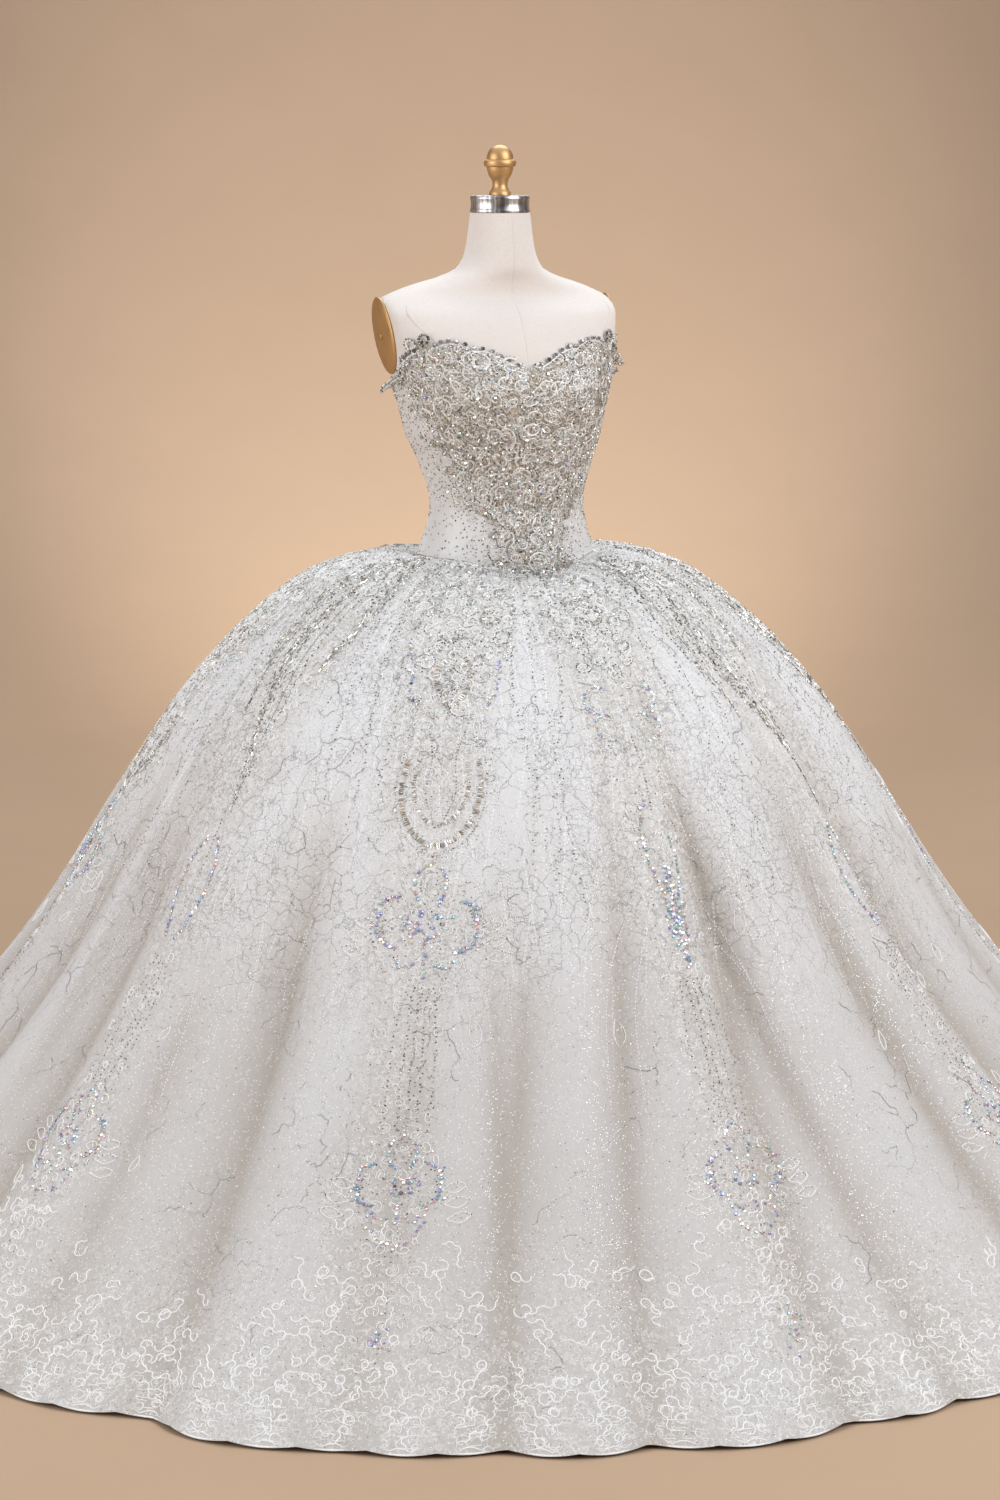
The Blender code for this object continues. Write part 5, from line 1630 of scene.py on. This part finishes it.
def build_crackle():
    """Fine silver lines in open cells, dashed and left out in places."""
    draw = np.random.default_rng(6)
    ends, table_length, table_depth = crackle_edges()
    share = np.linspace(0, 1, CRACKLE_SEGMENTS + 1)
    path = ends[:, :1] * (1 - share[None, :, None]) + ends[:, 1:] * share[None, :, None]
    way = ends[:, 1] - ends[:, 0]
    side = np.stack([-way[:, 1], way[:, 0]], axis=-1)
    wiggle = draw.normal(0, 0.10, (len(ends), CRACKLE_SEGMENTS + 1))
    wiggle[:, 0] = 0
    wiggle[:, -1] = 0
    path = path + wiggle[..., None] * side[:, None, :]
    angle = np.degrees(path[..., 0])
    length = np.interp(path[..., 1], table_depth, table_length)
    spacing = 360.0 / MOTIF_COLUMNS
    middle_angle = angle.mean(axis=1)
    middle_length = length.mean(axis=1)
    apart = np.abs((middle_angle - COLUMN_START + spacing / 2) % spacing - spacing / 2)
    share = np.interp(middle_length, [0.2, 0.5, 0.9, 1.2, 1.45], [0.85, 0.85, 0.62, 0.36, 0.22])
    patches = (np.sin(np.radians(13.0 * middle_angle) + 9.0 * middle_length)
               + np.sin(17.0 * middle_length - np.radians(21.0 * middle_angle))
               + np.sin(31.0 * middle_length + np.radians(34.0 * middle_angle)))
    share = share * np.where(np.abs(middle_angle + 14) < 14, 0.55, 1.0)
    share = share * step_between(1.0, 5.0, apart * middle_length / 0.6)
    chance = 0.93 * step_between(-0.35, 0.35, 3.6 * (share - 0.5) + patches)
    kept = draw.uniform(0, 1, len(angle)) < chance
    angle, length = angle[kept], length[kept]
    pile = Pile()
    where = skirt_frame(angle.ravel(), length.ravel(), 0.0006)
    point, sideways, down, normal = (part.reshape(*angle.shape, 3) for part in where)
    across = unit(np.cross(normal, np.gradient(point, axis=1)))
    width = THREAD_WIDTH * draw.uniform(0.5, 0.95, (len(angle), 1, 1))
    left = point - across * width / 2
    right = point + across * width / 2
    points = np.stack([left, right], axis=2)
    tones = draw.uniform(0, 1, len(angle))
    dotted = draw.uniform(0, 1, len(angle)) < 0.75
    for segment in range(CRACKLE_SEGMENTS):
        shown = ~dotted & (draw.uniform(0, 1, len(angle)) < 0.88)
        quads = points[shown, segment:segment + 2].reshape(-1, 4, 3)
        pile.add(quads, [(0, 2, 3, 1)], tones[shown])
    for at in (np.arange(CRACKLE_DOTS) + 0.5) / CRACKLE_DOTS * CRACKLE_SEGMENTS:
        before = int(at)
        part = at - before
        spots = [grid[dotted, before] * (1 - part) + grid[dotted, before + 1] * part
                 for grid in (point, sideways, down, normal)]
        place_items(pile, FLAT_POINTS, FLAT_FACES, [spots[0], unit(spots[1]), unit(spots[2]),
                                                    unit(spots[3])],
                    CRACKLE_DOT * draw.uniform(0.7, 1.25, (dotted.sum(), 1)) * np.ones(3),
                    draw.uniform(0, 6.28, dotted.sum()), draw.uniform(0, 1, dotted.sum()))
    pile.finish("skirt_crackle", SILVER_THREAD, "net")


def build_sequins():
    """Tiny flat sequins strewn over the whole skirt, thicker beside the columns."""
    draw = np.random.default_rng(9)
    count = 26000
    length = draw.uniform(0.05, SKIRT_LENGTH - 0.02, count)
    angle = draw.uniform(-180, 180, count)
    spacing = 360.0 / MOTIF_COLUMNS
    apart = np.abs((angle - COLUMN_START + spacing / 2) % spacing - spacing / 2) / (spacing / 2)
    chance = skirt_radius(length) / HEM_RADIUS * (0.35 + 0.65 * (1 - apart) ** 1.2)
    kept = draw.uniform(0, 1, count) < chance * 1.15
    angle, length = angle[kept], length[kept]
    pile = Pile()
    where = tilted(skirt_frame(angle, length, 0.0009), draw, 0.55)
    size = draw.uniform(0.0012, 0.0021, len(angle))
    place_items(pile, FLAT_POINTS, FLAT_FACES, where, size[:, None] * np.ones(3),
                draw.uniform(0, 6.28, len(angle)), draw.uniform(0, 1, len(angle)))
    pile.finish("skirt_sequins", SILVER_BEAD, "net")


def wander(draw, steps, stride, bend):
    """A cord's flat path round its own middle, that curls one way and then the other."""
    side = draw.choice([-1, 1]) * (-1.0) ** np.cumsum(draw.uniform(0, 1, steps) < 0.32)
    heading = draw.uniform(0, 2 * math.pi) + np.cumsum(side * bend * draw.uniform(0.7, 1.3, steps))
    path = stride * np.cumsum(np.stack([np.cos(heading), np.sin(heading)], axis=-1), axis=0)
    return path - path.mean(axis=0)


def build_hem_curls():
    """Curls of lace cord over the hem, higher under each column, and a scalloped edge."""
    draw = np.random.default_rng(12)
    pile = Pile()
    paths = []
    spacing = 360.0 / MOTIF_COLUMNS
    for row, length in enumerate(np.arange(1.20, SKIRT_LENGTH - 0.008, 0.0215)):
        count = round(2 * math.pi * float(skirt_radius(length)) / 0.0290)
        for k in range(count):
            angle = (k + draw.uniform(-0.25, 0.25)) * 360.0 / count - 180
            apart = abs((angle - COLUMN_START + spacing / 2) % spacing - spacing / 2) / (spacing / 2)
            top = 1.38 - 0.14 * math.exp(-(apart / 0.35) ** 2) + 0.04 * math.sin(5 * math.radians(angle))
            dense = 0.36 * step_between(top - 0.10, top + 0.02, length) + 0.54 * step_between(
                1.40, 1.49, length)
            if draw.uniform() > dense:
                continue
            curl = wander(draw, 13, draw.uniform(0.0040, 0.0062), 0.74)
            radius = float(skirt_radius(length))
            paths.append((angle + np.degrees(curl[:, 0] / radius),
                          np.minimum(length + draw.uniform(-0.006, 0.006) + curl[:, 1],
                                     SKIRT_LENGTH - 0.010)))
    u = np.array([p[0] for p in paths])
    v = np.array([p[1] for p in paths])
    add_ribbons(pile, skirt_frame, u, v, 0.0024, 0.0011, draw.uniform(0, 1, len(u)))
    pile.finish("hem_curls", LACE_CORD, "lace", smooth_shade=True)

    waves = Pile()
    share = np.linspace(0, 1, 1601)
    for row in range(3):
        length = SKIRT_LENGTH - 0.020 - 0.016 * row
        count = round(2 * math.pi * float(skirt_radius(length)) / draw.uniform(0.026, 0.034))
        phase = 2 * math.pi * count * share + 1.2 * np.sin(2 * math.pi * 17 * share + row)
        tall = 0.0085 * (1 + 0.35 * np.sin(2 * math.pi * 29 * share + 2 * row))
        angle = 360 * share - 180 + 0.75 * 360 / count * 0.35 * np.sin(2 * phase)
        add_ribbons(waves, skirt_frame, angle[None], (length + tall * np.cos(phase))[None], 0.0019, 0.0010,
                    np.full(1, 0.5))
    waves.finish("hem_waves", LACE_CORD, "lace", smooth_shade=True)

    edge = Pile()
    angle = np.linspace(-180, 180, SCALLOPS * 24 + 1)[None, :]
    phase = SCALLOPS * np.radians(angle) / 2
    rise = SCALLOP_SOFTENED * SCALLOP_DEPTH * (1 - np.abs(np.sin(phase)))
    for drop, loop, width in ((0.0014, 0.0, 0.0030), (0.0050, 0.0060, 0.0022)):
        small = loop * np.abs(np.sin(3 * phase + 0.4 * np.sin(11 * np.radians(angle))))
        add_ribbons(edge, skirt_frame, angle, SKIRT_LENGTH - drop - rise - small, width, 0.0010,
                    np.zeros(1))
    edge.finish("hem_edge_cord", LACE_CORD, "lace", smooth_shade=True)


# The bodice's embroidery


ART_REACH = [
    Reach(1.020, 30), Reach(1.042, 33), Reach(1.075, 29), Reach(1.105, 35), Reach(1.150, 52),
    Reach(1.195, 60), Reach(1.275, 73), Reach(1.330, 87), Reach(1.410, 98),
]


def art_share(angle, z):
    """1 inside the bodice's beadwork and 0 outside its ragged edge."""
    reach = smooth([r.z for r in ART_REACH], [r.angle for r in ART_REACH], z)
    ragged = 0.10 * np.sin(150 * z + 0.11 * angle) + 0.08 * np.sin(0.35 * angle - 260 * z)
    low = step_between(1.10, 1.20, z)
    return 1 - step_between(0.42 + 0.30 * low, 1.12, np.abs(angle) / reach * (1 + ragged))


def on_bodice(x, y):
    angle = np.degrees(x / APPLIQUE_RADIUS)
    return (-y < edge_at(NECKLINE, angle) - 0.003) & (-y > edge_at(BASQUE, angle) + 0.002)


def bodice_share(x, y):
    return art_share(np.degrees(x / APPLIQUE_RADIUS), -y) * on_bodice(x, y)


def neck_y(angle, above=0.0):
    return -float(edge_at(NECKLINE, angle)) - above


def neckline_trim(art):
    """Bead rows, small lobes and curls along and over the bodice's top edge."""
    for hand in (-1, 1):
        for start, end in ((4.0, 22.0), (22.0, 42.0), (56.0, 82.0)):
            angles = np.linspace(start, end, 9)
            bow = np.sin(np.linspace(0, math.pi, 9)) * 0.0065
            path = [(hand * math.radians(a) * APPLIQUE_RADIUS, neck_y(a, 0.0018 + b))
                    for a, b in zip(angles, bow)]
            art.chain(path, 0.0112, "crystal", 1.22, (0.0, 0.05))
            art.chain([(x, y + 0.0085) for x, y in path], 0.0056, "seed", 1.45, (0.3, 1.0))
            art.cord("white", curve_points([(x, y + 0.0052) for x, y in path], 20), 0.0028)
        for angle, size, lift in ((57.0, 0.0125, 0.010), (70.0, 0.0080, 0.006), (82.0, 0.0100, 0.005),
                                  (93.0, 0.0090, 0.001), (103.0, 0.0080, -0.006), (12.0, 0.0065, 0.0),
                                  (3.0, 0.0060, 0.0), (30.0, 0.0070, -0.004)):
            x = hand * math.radians(angle) * APPLIQUE_RADIUS
            curl = spiral(x, neck_y(angle, lift), size, 0.2, 1.2, -hand, 16)
            art.cord("white", curl, 0.0030)
            middle = np.array([x, neck_y(angle, lift)])
            art.chain(middle + (curl[::2] - middle) * 1.25, 0.0054, "seed", 1.5, (0.0, 0.7))
            art.chain(middle + (curl[::2] - middle) * 0.70, 0.0050, "seed", 1.1, (0.4, 1.0))


def build_bodice_trim():
    """Scroll cords, beads and stones: dense at the bust, down to a point at the basque."""
    art = Sketch(np.random.default_rng(31))
    reach = math.radians(100) * APPLIQUE_RADIUS
    box = (-reach, -1.405, reach, -1.028)
    art.curls(lambda x, y: 0.85 * bodice_share(x, y), box, 0.0260, "white", 0.0118, 0.0027, 14,
              beaded=0.45)
    art.curls(lambda x, y: 0.45 * bodice_share(x, y), box, 0.0230, "silver", 0.0085, 0.0018, 12)
    art.curls(lambda x, y: 0.70 * bodice_share(x, y), box, 0.0400, "white", 0.0185, 0.0034, 20,
              beaded=0.8)
    petals(art, lambda x, y: 0.60 * bodice_share(x, y), box, 0.022, 0.019)
    art.scatter(lambda x, y: 0.58 * bodice_share(x, y), box, 0.0070, "seed", 1.05, (0.0, 1.0))
    art.scatter(lambda x, y: 0.80 * bodice_share(x, y), box, 0.0150, "crystal", 0.80, (0.85, 1.0))
    art.scatter(lambda x, y: 0.22 * bodice_share(x, y), box, 0.0150, "crystal", 0.80, (0.0, 0.8))
    art.scatter(lambda x, y: 0.40 * bodice_share(x, y), box, 0.0130, "bugle", 0.80, BRIGHT)

    def plain(x, y):
        angle = np.abs(np.degrees(x / APPLIQUE_RADIUS))
        reach_here = np.interp(-y, [r.z for r in ART_REACH], [r.angle for r in ART_REACH])
        near = 1 - step_between(0.7, 1.9, angle / reach_here)
        return (1 - bodice_share(x, y)) * on_bodice(x, y) * (0.22 + 0.78 * near)
    wide = math.radians(150) * APPLIQUE_RADIUS
    art.scatter(plain, (-wide, -1.40, wide, -1.03), 0.0066, "seed", 0.95, (0.0, 0.45))
    art.curls(lambda x, y: 0.5 * plain(x, y), (-wide, -1.38, wide, -1.03), 0.024, "white", 0.0095,
              0.0016, 11)
    for hand in (-1, 1):
        for angle in (10, 25):
            x = hand * math.radians(angle) * APPLIQUE_RADIUS
            y = -float(edge_at(BASQUE, angle)) - 0.030
            drop = [(x, y - 0.026), (x - 0.010, y - 0.004), (x - 0.007, y + 0.014), (x, y + 0.019),
                    (x + 0.007, y + 0.014), (x + 0.010, y - 0.004), (x, y - 0.026)]
            art.chain(drop, 0.0038, "seed", 1.15, DARK)
            art.cord("white", curve_points([(px * 1.0, py + 0.002) for px, py in drop], 22), 0.0024)
    neckline_trim(art)

    def to_surface(x, y):
        return np.degrees(x / APPLIQUE_RADIUS), -y
    trim = Trim(bodice_frame)
    trim.lay(art, to_surface)
    trim.finish("bodice_trim", PALE_CORD, "beaded")


def tube(points, radius, sides=7):
    """A round cord along points in space, closed at both ends."""
    points = np.asarray(points, float)
    ahead = unit(np.gradient(points, axis=0))
    side = unit(np.cross(ahead, np.array([0.31, 0.22, 0.93])))
    other = np.cross(ahead, side)
    turn = np.arange(sides) * 2 * math.pi / sides
    rings = (points[:, None] + radius * (side[:, None] * np.cos(turn)[None, :, None]
                                         + other[:, None] * np.sin(turn)[None, :, None]))
    faces = grid_faces(len(points), sides, closed=True)[:, ::-1].tolist()
    faces.append(tuple(range(sides)))
    faces.append(tuple(reversed(range((len(points) - 1) * sides, len(points) * sides))))
    return rings.reshape(-1, 3), faces


def build_neck_petals():
    """Beaded lace petals that stand out and droop at the ends of the neckline."""
    draw = np.random.default_rng(23)
    cords = Pile()
    beads = Pile()
    for hand in (-1, 1):
        for k in range(13):
            angle = np.array([hand * (64.0 + 3.6 * k)])
            z = edge_at(NECKLINE, angle) - 0.003 - 0.002 * draw.uniform()
            foot = bodice_point(angle, z, 0.0)[0]
            _, normal, sideways = (part[0] for part in torso_frame(angle, z))
            long = draw.uniform(0.013, 0.021)
            lift = draw.uniform(0.5, 1.5)
            tip = unit(normal * 1.0 + np.array([0, 0, lift]) + sideways * draw.uniform(-0.5, 0.5))
            wide = unit(np.cross(tip, normal + 0.4 * sideways))
            shape = [(0, 0), (0.35, 0.30), (0.75, 0.30), (1.0, 0.0), (0.75, -0.30), (0.35, -0.30), (0, 0)]
            leaf = curve_points(shape, 15)
            droop = -0.75 * leaf[:, 0] ** 2
            path = foot + long * (leaf[:, :1] * tip + leaf[:, 1:] * wide
                                  + droop[:, None] * np.array([0, 0, 1.0]))
            points, faces = tube(path, 0.0016, 5)
            cords.faces.extend([tuple(i + cords.count for i in face) for face in faces])
            cords.points.append(points)
            cords.tones.append(np.full(len(points), 0.5))
            cords.count += len(points)
            spots = path[::2]
            across = np.broadcast_to(sideways, spots.shape)
            up = np.broadcast_to(np.array([0.0, 0.0, 1.0]), spots.shape)
            out = np.broadcast_to(normal, spots.shape)
            for level in (1, -1):
                place_items(beads, SEED_POINTS, SEED_FACES, [spots, across, up, out * level],
                            (0.0048, 0.0048, 0.0048), 0.0, draw.uniform(0, 1, len(spots)))
    cords.finish("neck_petal_cords", PALE_CORD, "beaded", smooth_shade=True)
    beads.finish("neck_petal_beads", SILVER_BEAD, "beaded")


def build_neck_scrolls():
    """The curls that stand over the neckline: a corded spiral set with beads."""
    for side, letter in ((1, "L"), (-1, "R")):
        angle = np.array([side * NECK_SCROLL_ANGLE])
        top = edge_at(NECKLINE, angle)
        skin, normal, sideways = torso_frame(angle, top)
        foot = skin[0] + normal[0] * (float(ease(top)[0]) + BODICE_WALL / 2)
        across = sideways[0] * side
        upward = np.array([0.0, 0.0, 1.0])
        centre = foot + upward * (NECK_SCROLL_RADIUS + NECK_SCROLL_BEAD)
        share = np.linspace(0, 1, 46)[:, None]
        turn = -math.pi / 2 - 0.25 + share * NECK_SCROLL_TURN * 2 * math.pi
        radius = NECK_SCROLL_RADIUS * (1 - 0.52 * share)
        path = centre + across * radius * np.cos(turn) + upward * radius * np.sin(turn)
        points, faces = tube(path, 0.0011)
        cord = bpy.data.meshes.new("neck_scroll_cord_" + letter)
        cord.from_pydata(points.tolist(), [], faces)
        cord.materials.append(PALE_CORD)
        cord_piece = keep(bpy.data.objects.new(cord.name, cord))
        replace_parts(cord_piece, "neck_scroll_" + letter)
        beads = Pile()
        spots = path[::3]
        out = np.broadcast_to(normal[0], spots.shape)
        flat = np.broadcast_to(across, spots.shape)
        draw = np.random.default_rng(17)
        for level in (1, -1):
            place_items(beads, SEED_POINTS, SEED_FACES, [spots, flat, -np.cross(out, flat), out * level],
                        (0.0062, 0.0062, 0.0060), 0.0, draw.uniform(0.0, 0.95, len(spots)))
        bead_piece = beads.finish("neck_scroll_beads_" + letter, SILVER_BEAD, "silver")
        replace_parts(bead_piece, "neck_scroll_" + letter)


# Camera, floor and light


def build_camera():
    turn = math.radians(CAMERA_TURN)
    data = bpy.data.cameras.new("camera")
    data.sensor_fit = "VERTICAL"
    data.sensor_height = SENSOR_MM
    data.lens = CAMERA_FOCAL_PIXELS / FRAME_HEIGHT_PIXELS * SENSOR_MM
    data.clip_end = 100.0
    camera = bpy.data.objects.new("camera", data)
    camera.location = (CAMERA_DISTANCE * math.sin(turn), -CAMERA_DISTANCE * math.cos(turn),
                       CAMERA_HEIGHT)
    camera.rotation_euler = (math.radians(90 - CAMERA_DIP), 0.0, turn)
    bpy.context.scene.collection.objects.link(camera)
    bpy.context.scene.camera = camera


def stage_material():
    n = Nodes("backdrop_painted_shade")
    place = n.coordinates()
    grain = n.noise(place, 3.0, 3.0)
    level = n.add("ShaderNodeVectorMath", operation="MULTIPLY")
    n.link(place, level.inputs[0])
    level.inputs[1].default_value = (0.1, 0.1, 0.0)
    reach = n.add("ShaderNodeVectorMath", operation="LENGTH")
    n.link(level.outputs["Vector"], reach.inputs[0])
    # The cove's colour by distance from the middle is painted shade: darker on the floor round the gown,
    # lightest where the floor turns up, darker again up the wall.
    wall = n.ramp(reach.outputs["Value"], (0.22, (0.440, 0.305, 0.200)), (0.45, (0.570, 0.402, 0.270)),
                  (0.62, (0.480, 0.352, 0.252)), (0.80, (0.425, 0.312, 0.228)))
    n.colour(n.mix(0.6, wall, n.ramp(grain, (0.2, 0.94), (0.8, 1.0)), "MULTIPLY"))
    n.put(Roughness=0.95)

    # A camera outside the cove looks in through the back of its wall. Light doesn't pass it.
    outside = n.add("ShaderNodeNewGeometry").outputs["Backfacing"]
    looking = n.add("ShaderNodeLightPath").outputs["Is Camera Ray"]
    opening = n.add("ShaderNodeMixShader")
    n.link(n.sum(outside, looking, "MULTIPLY"), opening.inputs[0])
    n.link(n.shader.outputs["BSDF"], opening.inputs[1])
    n.link(n.add("ShaderNodeBsdfTransparent").outputs["BSDF"], opening.inputs[2])
    n.link(opening.outputs["Shader"], n.tree.nodes["Material Output"].inputs["Surface"])
    return n.material


def build_stage():
    """A pale floor that curves up into a wall all round, like a studio cove."""
    flat_radius = 4.2
    curve = 4.6
    wall_top = 9.0
    profile = [(0.01, 0.0), (flat_radius, 0.0)]
    profile += [(flat_radius + curve * math.sin(a), curve * (1 - math.cos(a)))
                for a in np.linspace(0.0, math.pi / 2, 24)[1:]]
    profile.append((flat_radius + curve, wall_top))
    profile = np.array(profile)
    steps = 96
    turn = np.arange(steps) * 2 * math.pi / steps
    points = np.stack([profile[:, None, 0] * np.cos(turn), profile[:, None, 0] * np.sin(turn),
                       profile[:, None, 1] + 0 * turn], axis=-1)
    mesh = bpy.data.meshes.new("studio_cove")
    mesh.from_pydata(points.reshape(-1, 3).tolist(), [],
                     grid_faces(len(profile), steps, closed=True).tolist())
    mesh.materials.append(stage_material())
    mesh.shade_smooth()
    cove = bpy.data.objects.new("studio_cove", mesh)
    bpy.context.scene.collection.objects.link(cove)


def area_light(name, turn, distance, height, target_z, size, power, colour):
    """A square soft light, its place given round the gown from the camera's side."""
    angle = math.radians(CAMERA_TURN + turn)
    data = bpy.data.lights.new(name, "AREA")
    data.size = size
    data.energy = power
    data.color = colour
    light = bpy.data.objects.new(name, data)
    light.location = (distance * math.sin(angle), -distance * math.cos(angle), height)
    aim = Vector((0, 0, target_z)) - light.location
    light.rotation_euler = aim.to_track_quat("-Z", "Y").to_euler()
    bpy.context.scene.collection.objects.link(light)


def build_lights():
    cool = (0.93, 0.965, 1.0)
    area_light("key", 54, 4.4, 3.6, 0.9, 3.6, 212, cool)
    area_light("fill", -58, 4.8, 2.2, 0.9, 3.6, 157, cool)
    area_light("top", 175, 2.2, 4.4, 0.8, 3.0, 90, cool)
    glow = bpy.data.lights.new("backdrop_glow", "SPOT")
    glow.energy = 1680
    glow.color = (1.0, 0.93, 0.84)
    glow.spot_size = math.radians(54)
    glow.spot_blend = 1.0
    glow.shadow_soft_size = 0.5
    lamp = bpy.data.objects.new("backdrop_glow", glow)
    away = math.radians(CAMERA_TURN + 180)
    lamp.location = (1.5 * math.sin(away), -1.5 * math.cos(away), 0.6)
    left = away + math.radians(1.2)
    aim = Vector((7.5 * math.sin(left), -7.5 * math.cos(left), 1.0)) - lamp.location
    lamp.rotation_euler = aim.to_track_quat("-Z", "Y").to_euler()
    bpy.context.scene.collection.objects.link(lamp)
    world = bpy.data.worlds.new("studio_air")
    world.use_nodes = True
    world.node_tree.nodes["Background"].inputs["Color"].default_value = (0.88, 0.94, 1.0, 1.0)
    world.node_tree.nodes["Background"].inputs["Strength"].default_value = 0.80
    bpy.context.scene.world = world
    bpy.context.scene.view_settings.view_transform = "Standard"


# The form


def build_form():
    rows = 100
    columns = 112
    z = np.linspace(NECK_TOP_Z, TORSO_BOTTOM_Z, rows)[:, None]
    angle = (np.arange(columns) * 360.0 / columns)[None, :]
    points = torso_point(angle + 0 * z, z + 0 * angle).reshape(-1, 3)
    faces = grid_faces(rows, columns, closed=True).tolist()
    faces.append(tuple(range(columns)))
    faces.append(tuple(reversed(range((rows - 1) * columns, rows * columns))))
    mesh = bpy.data.meshes.new("torso_cover")
    mesh.from_pydata(points.tolist(), [], faces)
    mesh.materials.append(LINEN)
    obj = keep(bpy.data.objects.new("torso_cover", mesh))
    mesh.set_sharp_from_angle(angle=math.radians(50))
    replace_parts(obj, "form_torso")


FINIAL_PROFILE = [
    (0.0005, 0.0790), (0.0052, 0.0786), (0.0105, 0.0767), (0.0150, 0.0732), (0.0185, 0.0690),
    (0.0205, 0.0640), (0.0213, 0.0590), (0.0214, 0.0562), (0.0226, 0.0556), (0.0248, 0.0546),
    (0.0257, 0.0522), (0.0257, 0.0480), (0.0247, 0.0455), (0.0222, 0.0445), (0.0212, 0.0440),
    (0.0210, 0.0405), (0.0200, 0.0370), (0.0178, 0.0310), (0.0150, 0.0265), (0.0136, 0.0245),
    (0.0124, 0.0205), (0.0118, 0.0170), (0.0121, 0.0135), (0.0132, 0.0105), (0.0152, 0.0070),
    (0.0172, 0.0048), (0.0178, 0.0020), (0.0176, 0.0000),
]
CAP_PROFILE = [
    (0.0440, 0.0270), (0.0458, 0.0268), (0.0470, 0.0258), (0.0476, 0.0240), (0.0480, 0.0220),
    (0.0475, 0.0208), (0.0470, 0.0200), (0.0470, 0.0062), (0.0476, 0.0052), (0.0480, 0.0040),
    (0.0480, 0.0012), (0.0474, 0.0000),
]
PLATE_PROFILE = [
    (0.002, 1.00), (0.12, 1.00), (0.30, 0.97), (0.50, 0.90), (0.68, 0.78), (0.82, 0.62),
    (0.895, 0.50), (0.915, 0.40), (0.935, 0.42), (0.960, 0.45), (0.985, 0.36), (1.00, 0.20), (1.00, 0.0),
]
SEAM_GAP = 0.0003


def build_arm_plates():
    """Domed oval plates with a rim and a screw, on the torso's cut arms."""
    steps = 64
    turn = np.arange(steps) * 2 * math.pi / steps
    lean = math.atan(ARM_PLATE_LEAN)
    for side, letter in ((1, "L"), (-1, "R")):
        outward = np.array([side * math.cos(lean), 0.0, -math.sin(lean)])
        along = np.array([side * math.sin(lean), 0.0, math.cos(lean)])
        across = np.cross(along, outward)
        centre = np.array([side * ARM_PLATE_X, ARM_PLATE_Y, ARM_PLATE_Z]) + outward * SEAM_GAP
        screw = [(0.002, 1.42), (0.075, 1.38), (0.110, 1.22), (0.115, 0.99)]
        for name, profile, across_size, along_size in (
                ("arm_plate_", PLATE_PROFILE, ARM_PLATE_HALF_WIDTH, ARM_PLATE_HALF_HEIGHT),
                ("arm_plate_screw_", screw, ARM_PLATE_HALF_WIDTH, ARM_PLATE_HALF_WIDTH)):
            rings = np.array([[centre + across * across_size * r * math.cos(t)
                               + along * along_size * r * math.sin(t) + outward * ARM_PLATE_RISE * h
                               for t in turn] for r, h in profile])
            faces = grid_faces(len(profile), steps, closed=True)
            ends = [tuple(reversed(range(steps))),
                    tuple(range((len(profile) - 1) * steps, len(profile) * steps))]
            mesh = bpy.data.meshes.new(name + letter)
            mesh.from_pydata(rings.reshape(-1, 3).tolist(), [], faces.tolist() + ends)
            mesh.materials.append(GOLD)
            piece = keep(bpy.data.objects.new(mesh.name, mesh))
            mesh.set_sharp_from_angle(angle=math.radians(38))
            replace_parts(piece, "form_arm_plate_" + letter)


def torso_surface(angle, minus_z, lift):
    point, normal, _ = torso_frame(angle, -minus_z)
    return point + normal * lift


def torso_cord_frame(angle, z, lift):
    return frame_of(torso_surface, angle, -z, lift, 0.8, 0.002)


def build_form_seams():
    """The cover's seams: centre front, centre back and the long seams beside them."""
    pile = Pile()
    neck = NECK_TOP_Z - 0.004
    for angle, bend, top in ((0.0, 0.0, neck), (180.0, 0.0, neck), (34.0, 22.0, 1.466),
                             (-34.0, -22.0, 1.466), (148.0, -22.0, 1.466), (-148.0, 22.0, 1.466)):
        z = np.linspace(1.30, top, 70)[None, :]
        sway = angle + bend * step_between(1.37, 1.475, z)
        add_ribbons(pile, torso_cord_frame, sway, z, 0.0011, 0.0004, np.zeros(1), lift=0.0002)
    pile.finish("torso_seams", SEAM, "linen", smooth_shade=True)


build_camera()
build_stage()
build_lights()
build_form()
build_form_seams()
build_arm_plates()
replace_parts(lathe("neck_cap", CAP_PROFILE, NECK_TOP_Z + SEAM_GAP, 96, STEEL), "form_neck_cap")
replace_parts(lathe("finial", FINIAL_PROFILE, NECK_TOP_Z + CAP_HEIGHT + 2 * SEAM_GAP, 72, GOLD),
            "form_finial")
build_gores()
build_hem_lace()
build_bodice()
build_crackle()
build_sequins()
build_columns()
build_basque_point()
build_hem_curls()
build_bodice_trim()
build_neck_scrolls()
build_neck_petals()

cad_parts["form_pole"].material_slots[0].material = IRON
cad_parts["form_base"].material_slots[0].material = IRON
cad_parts["zip_back"].material_slots[0].material = SATIN
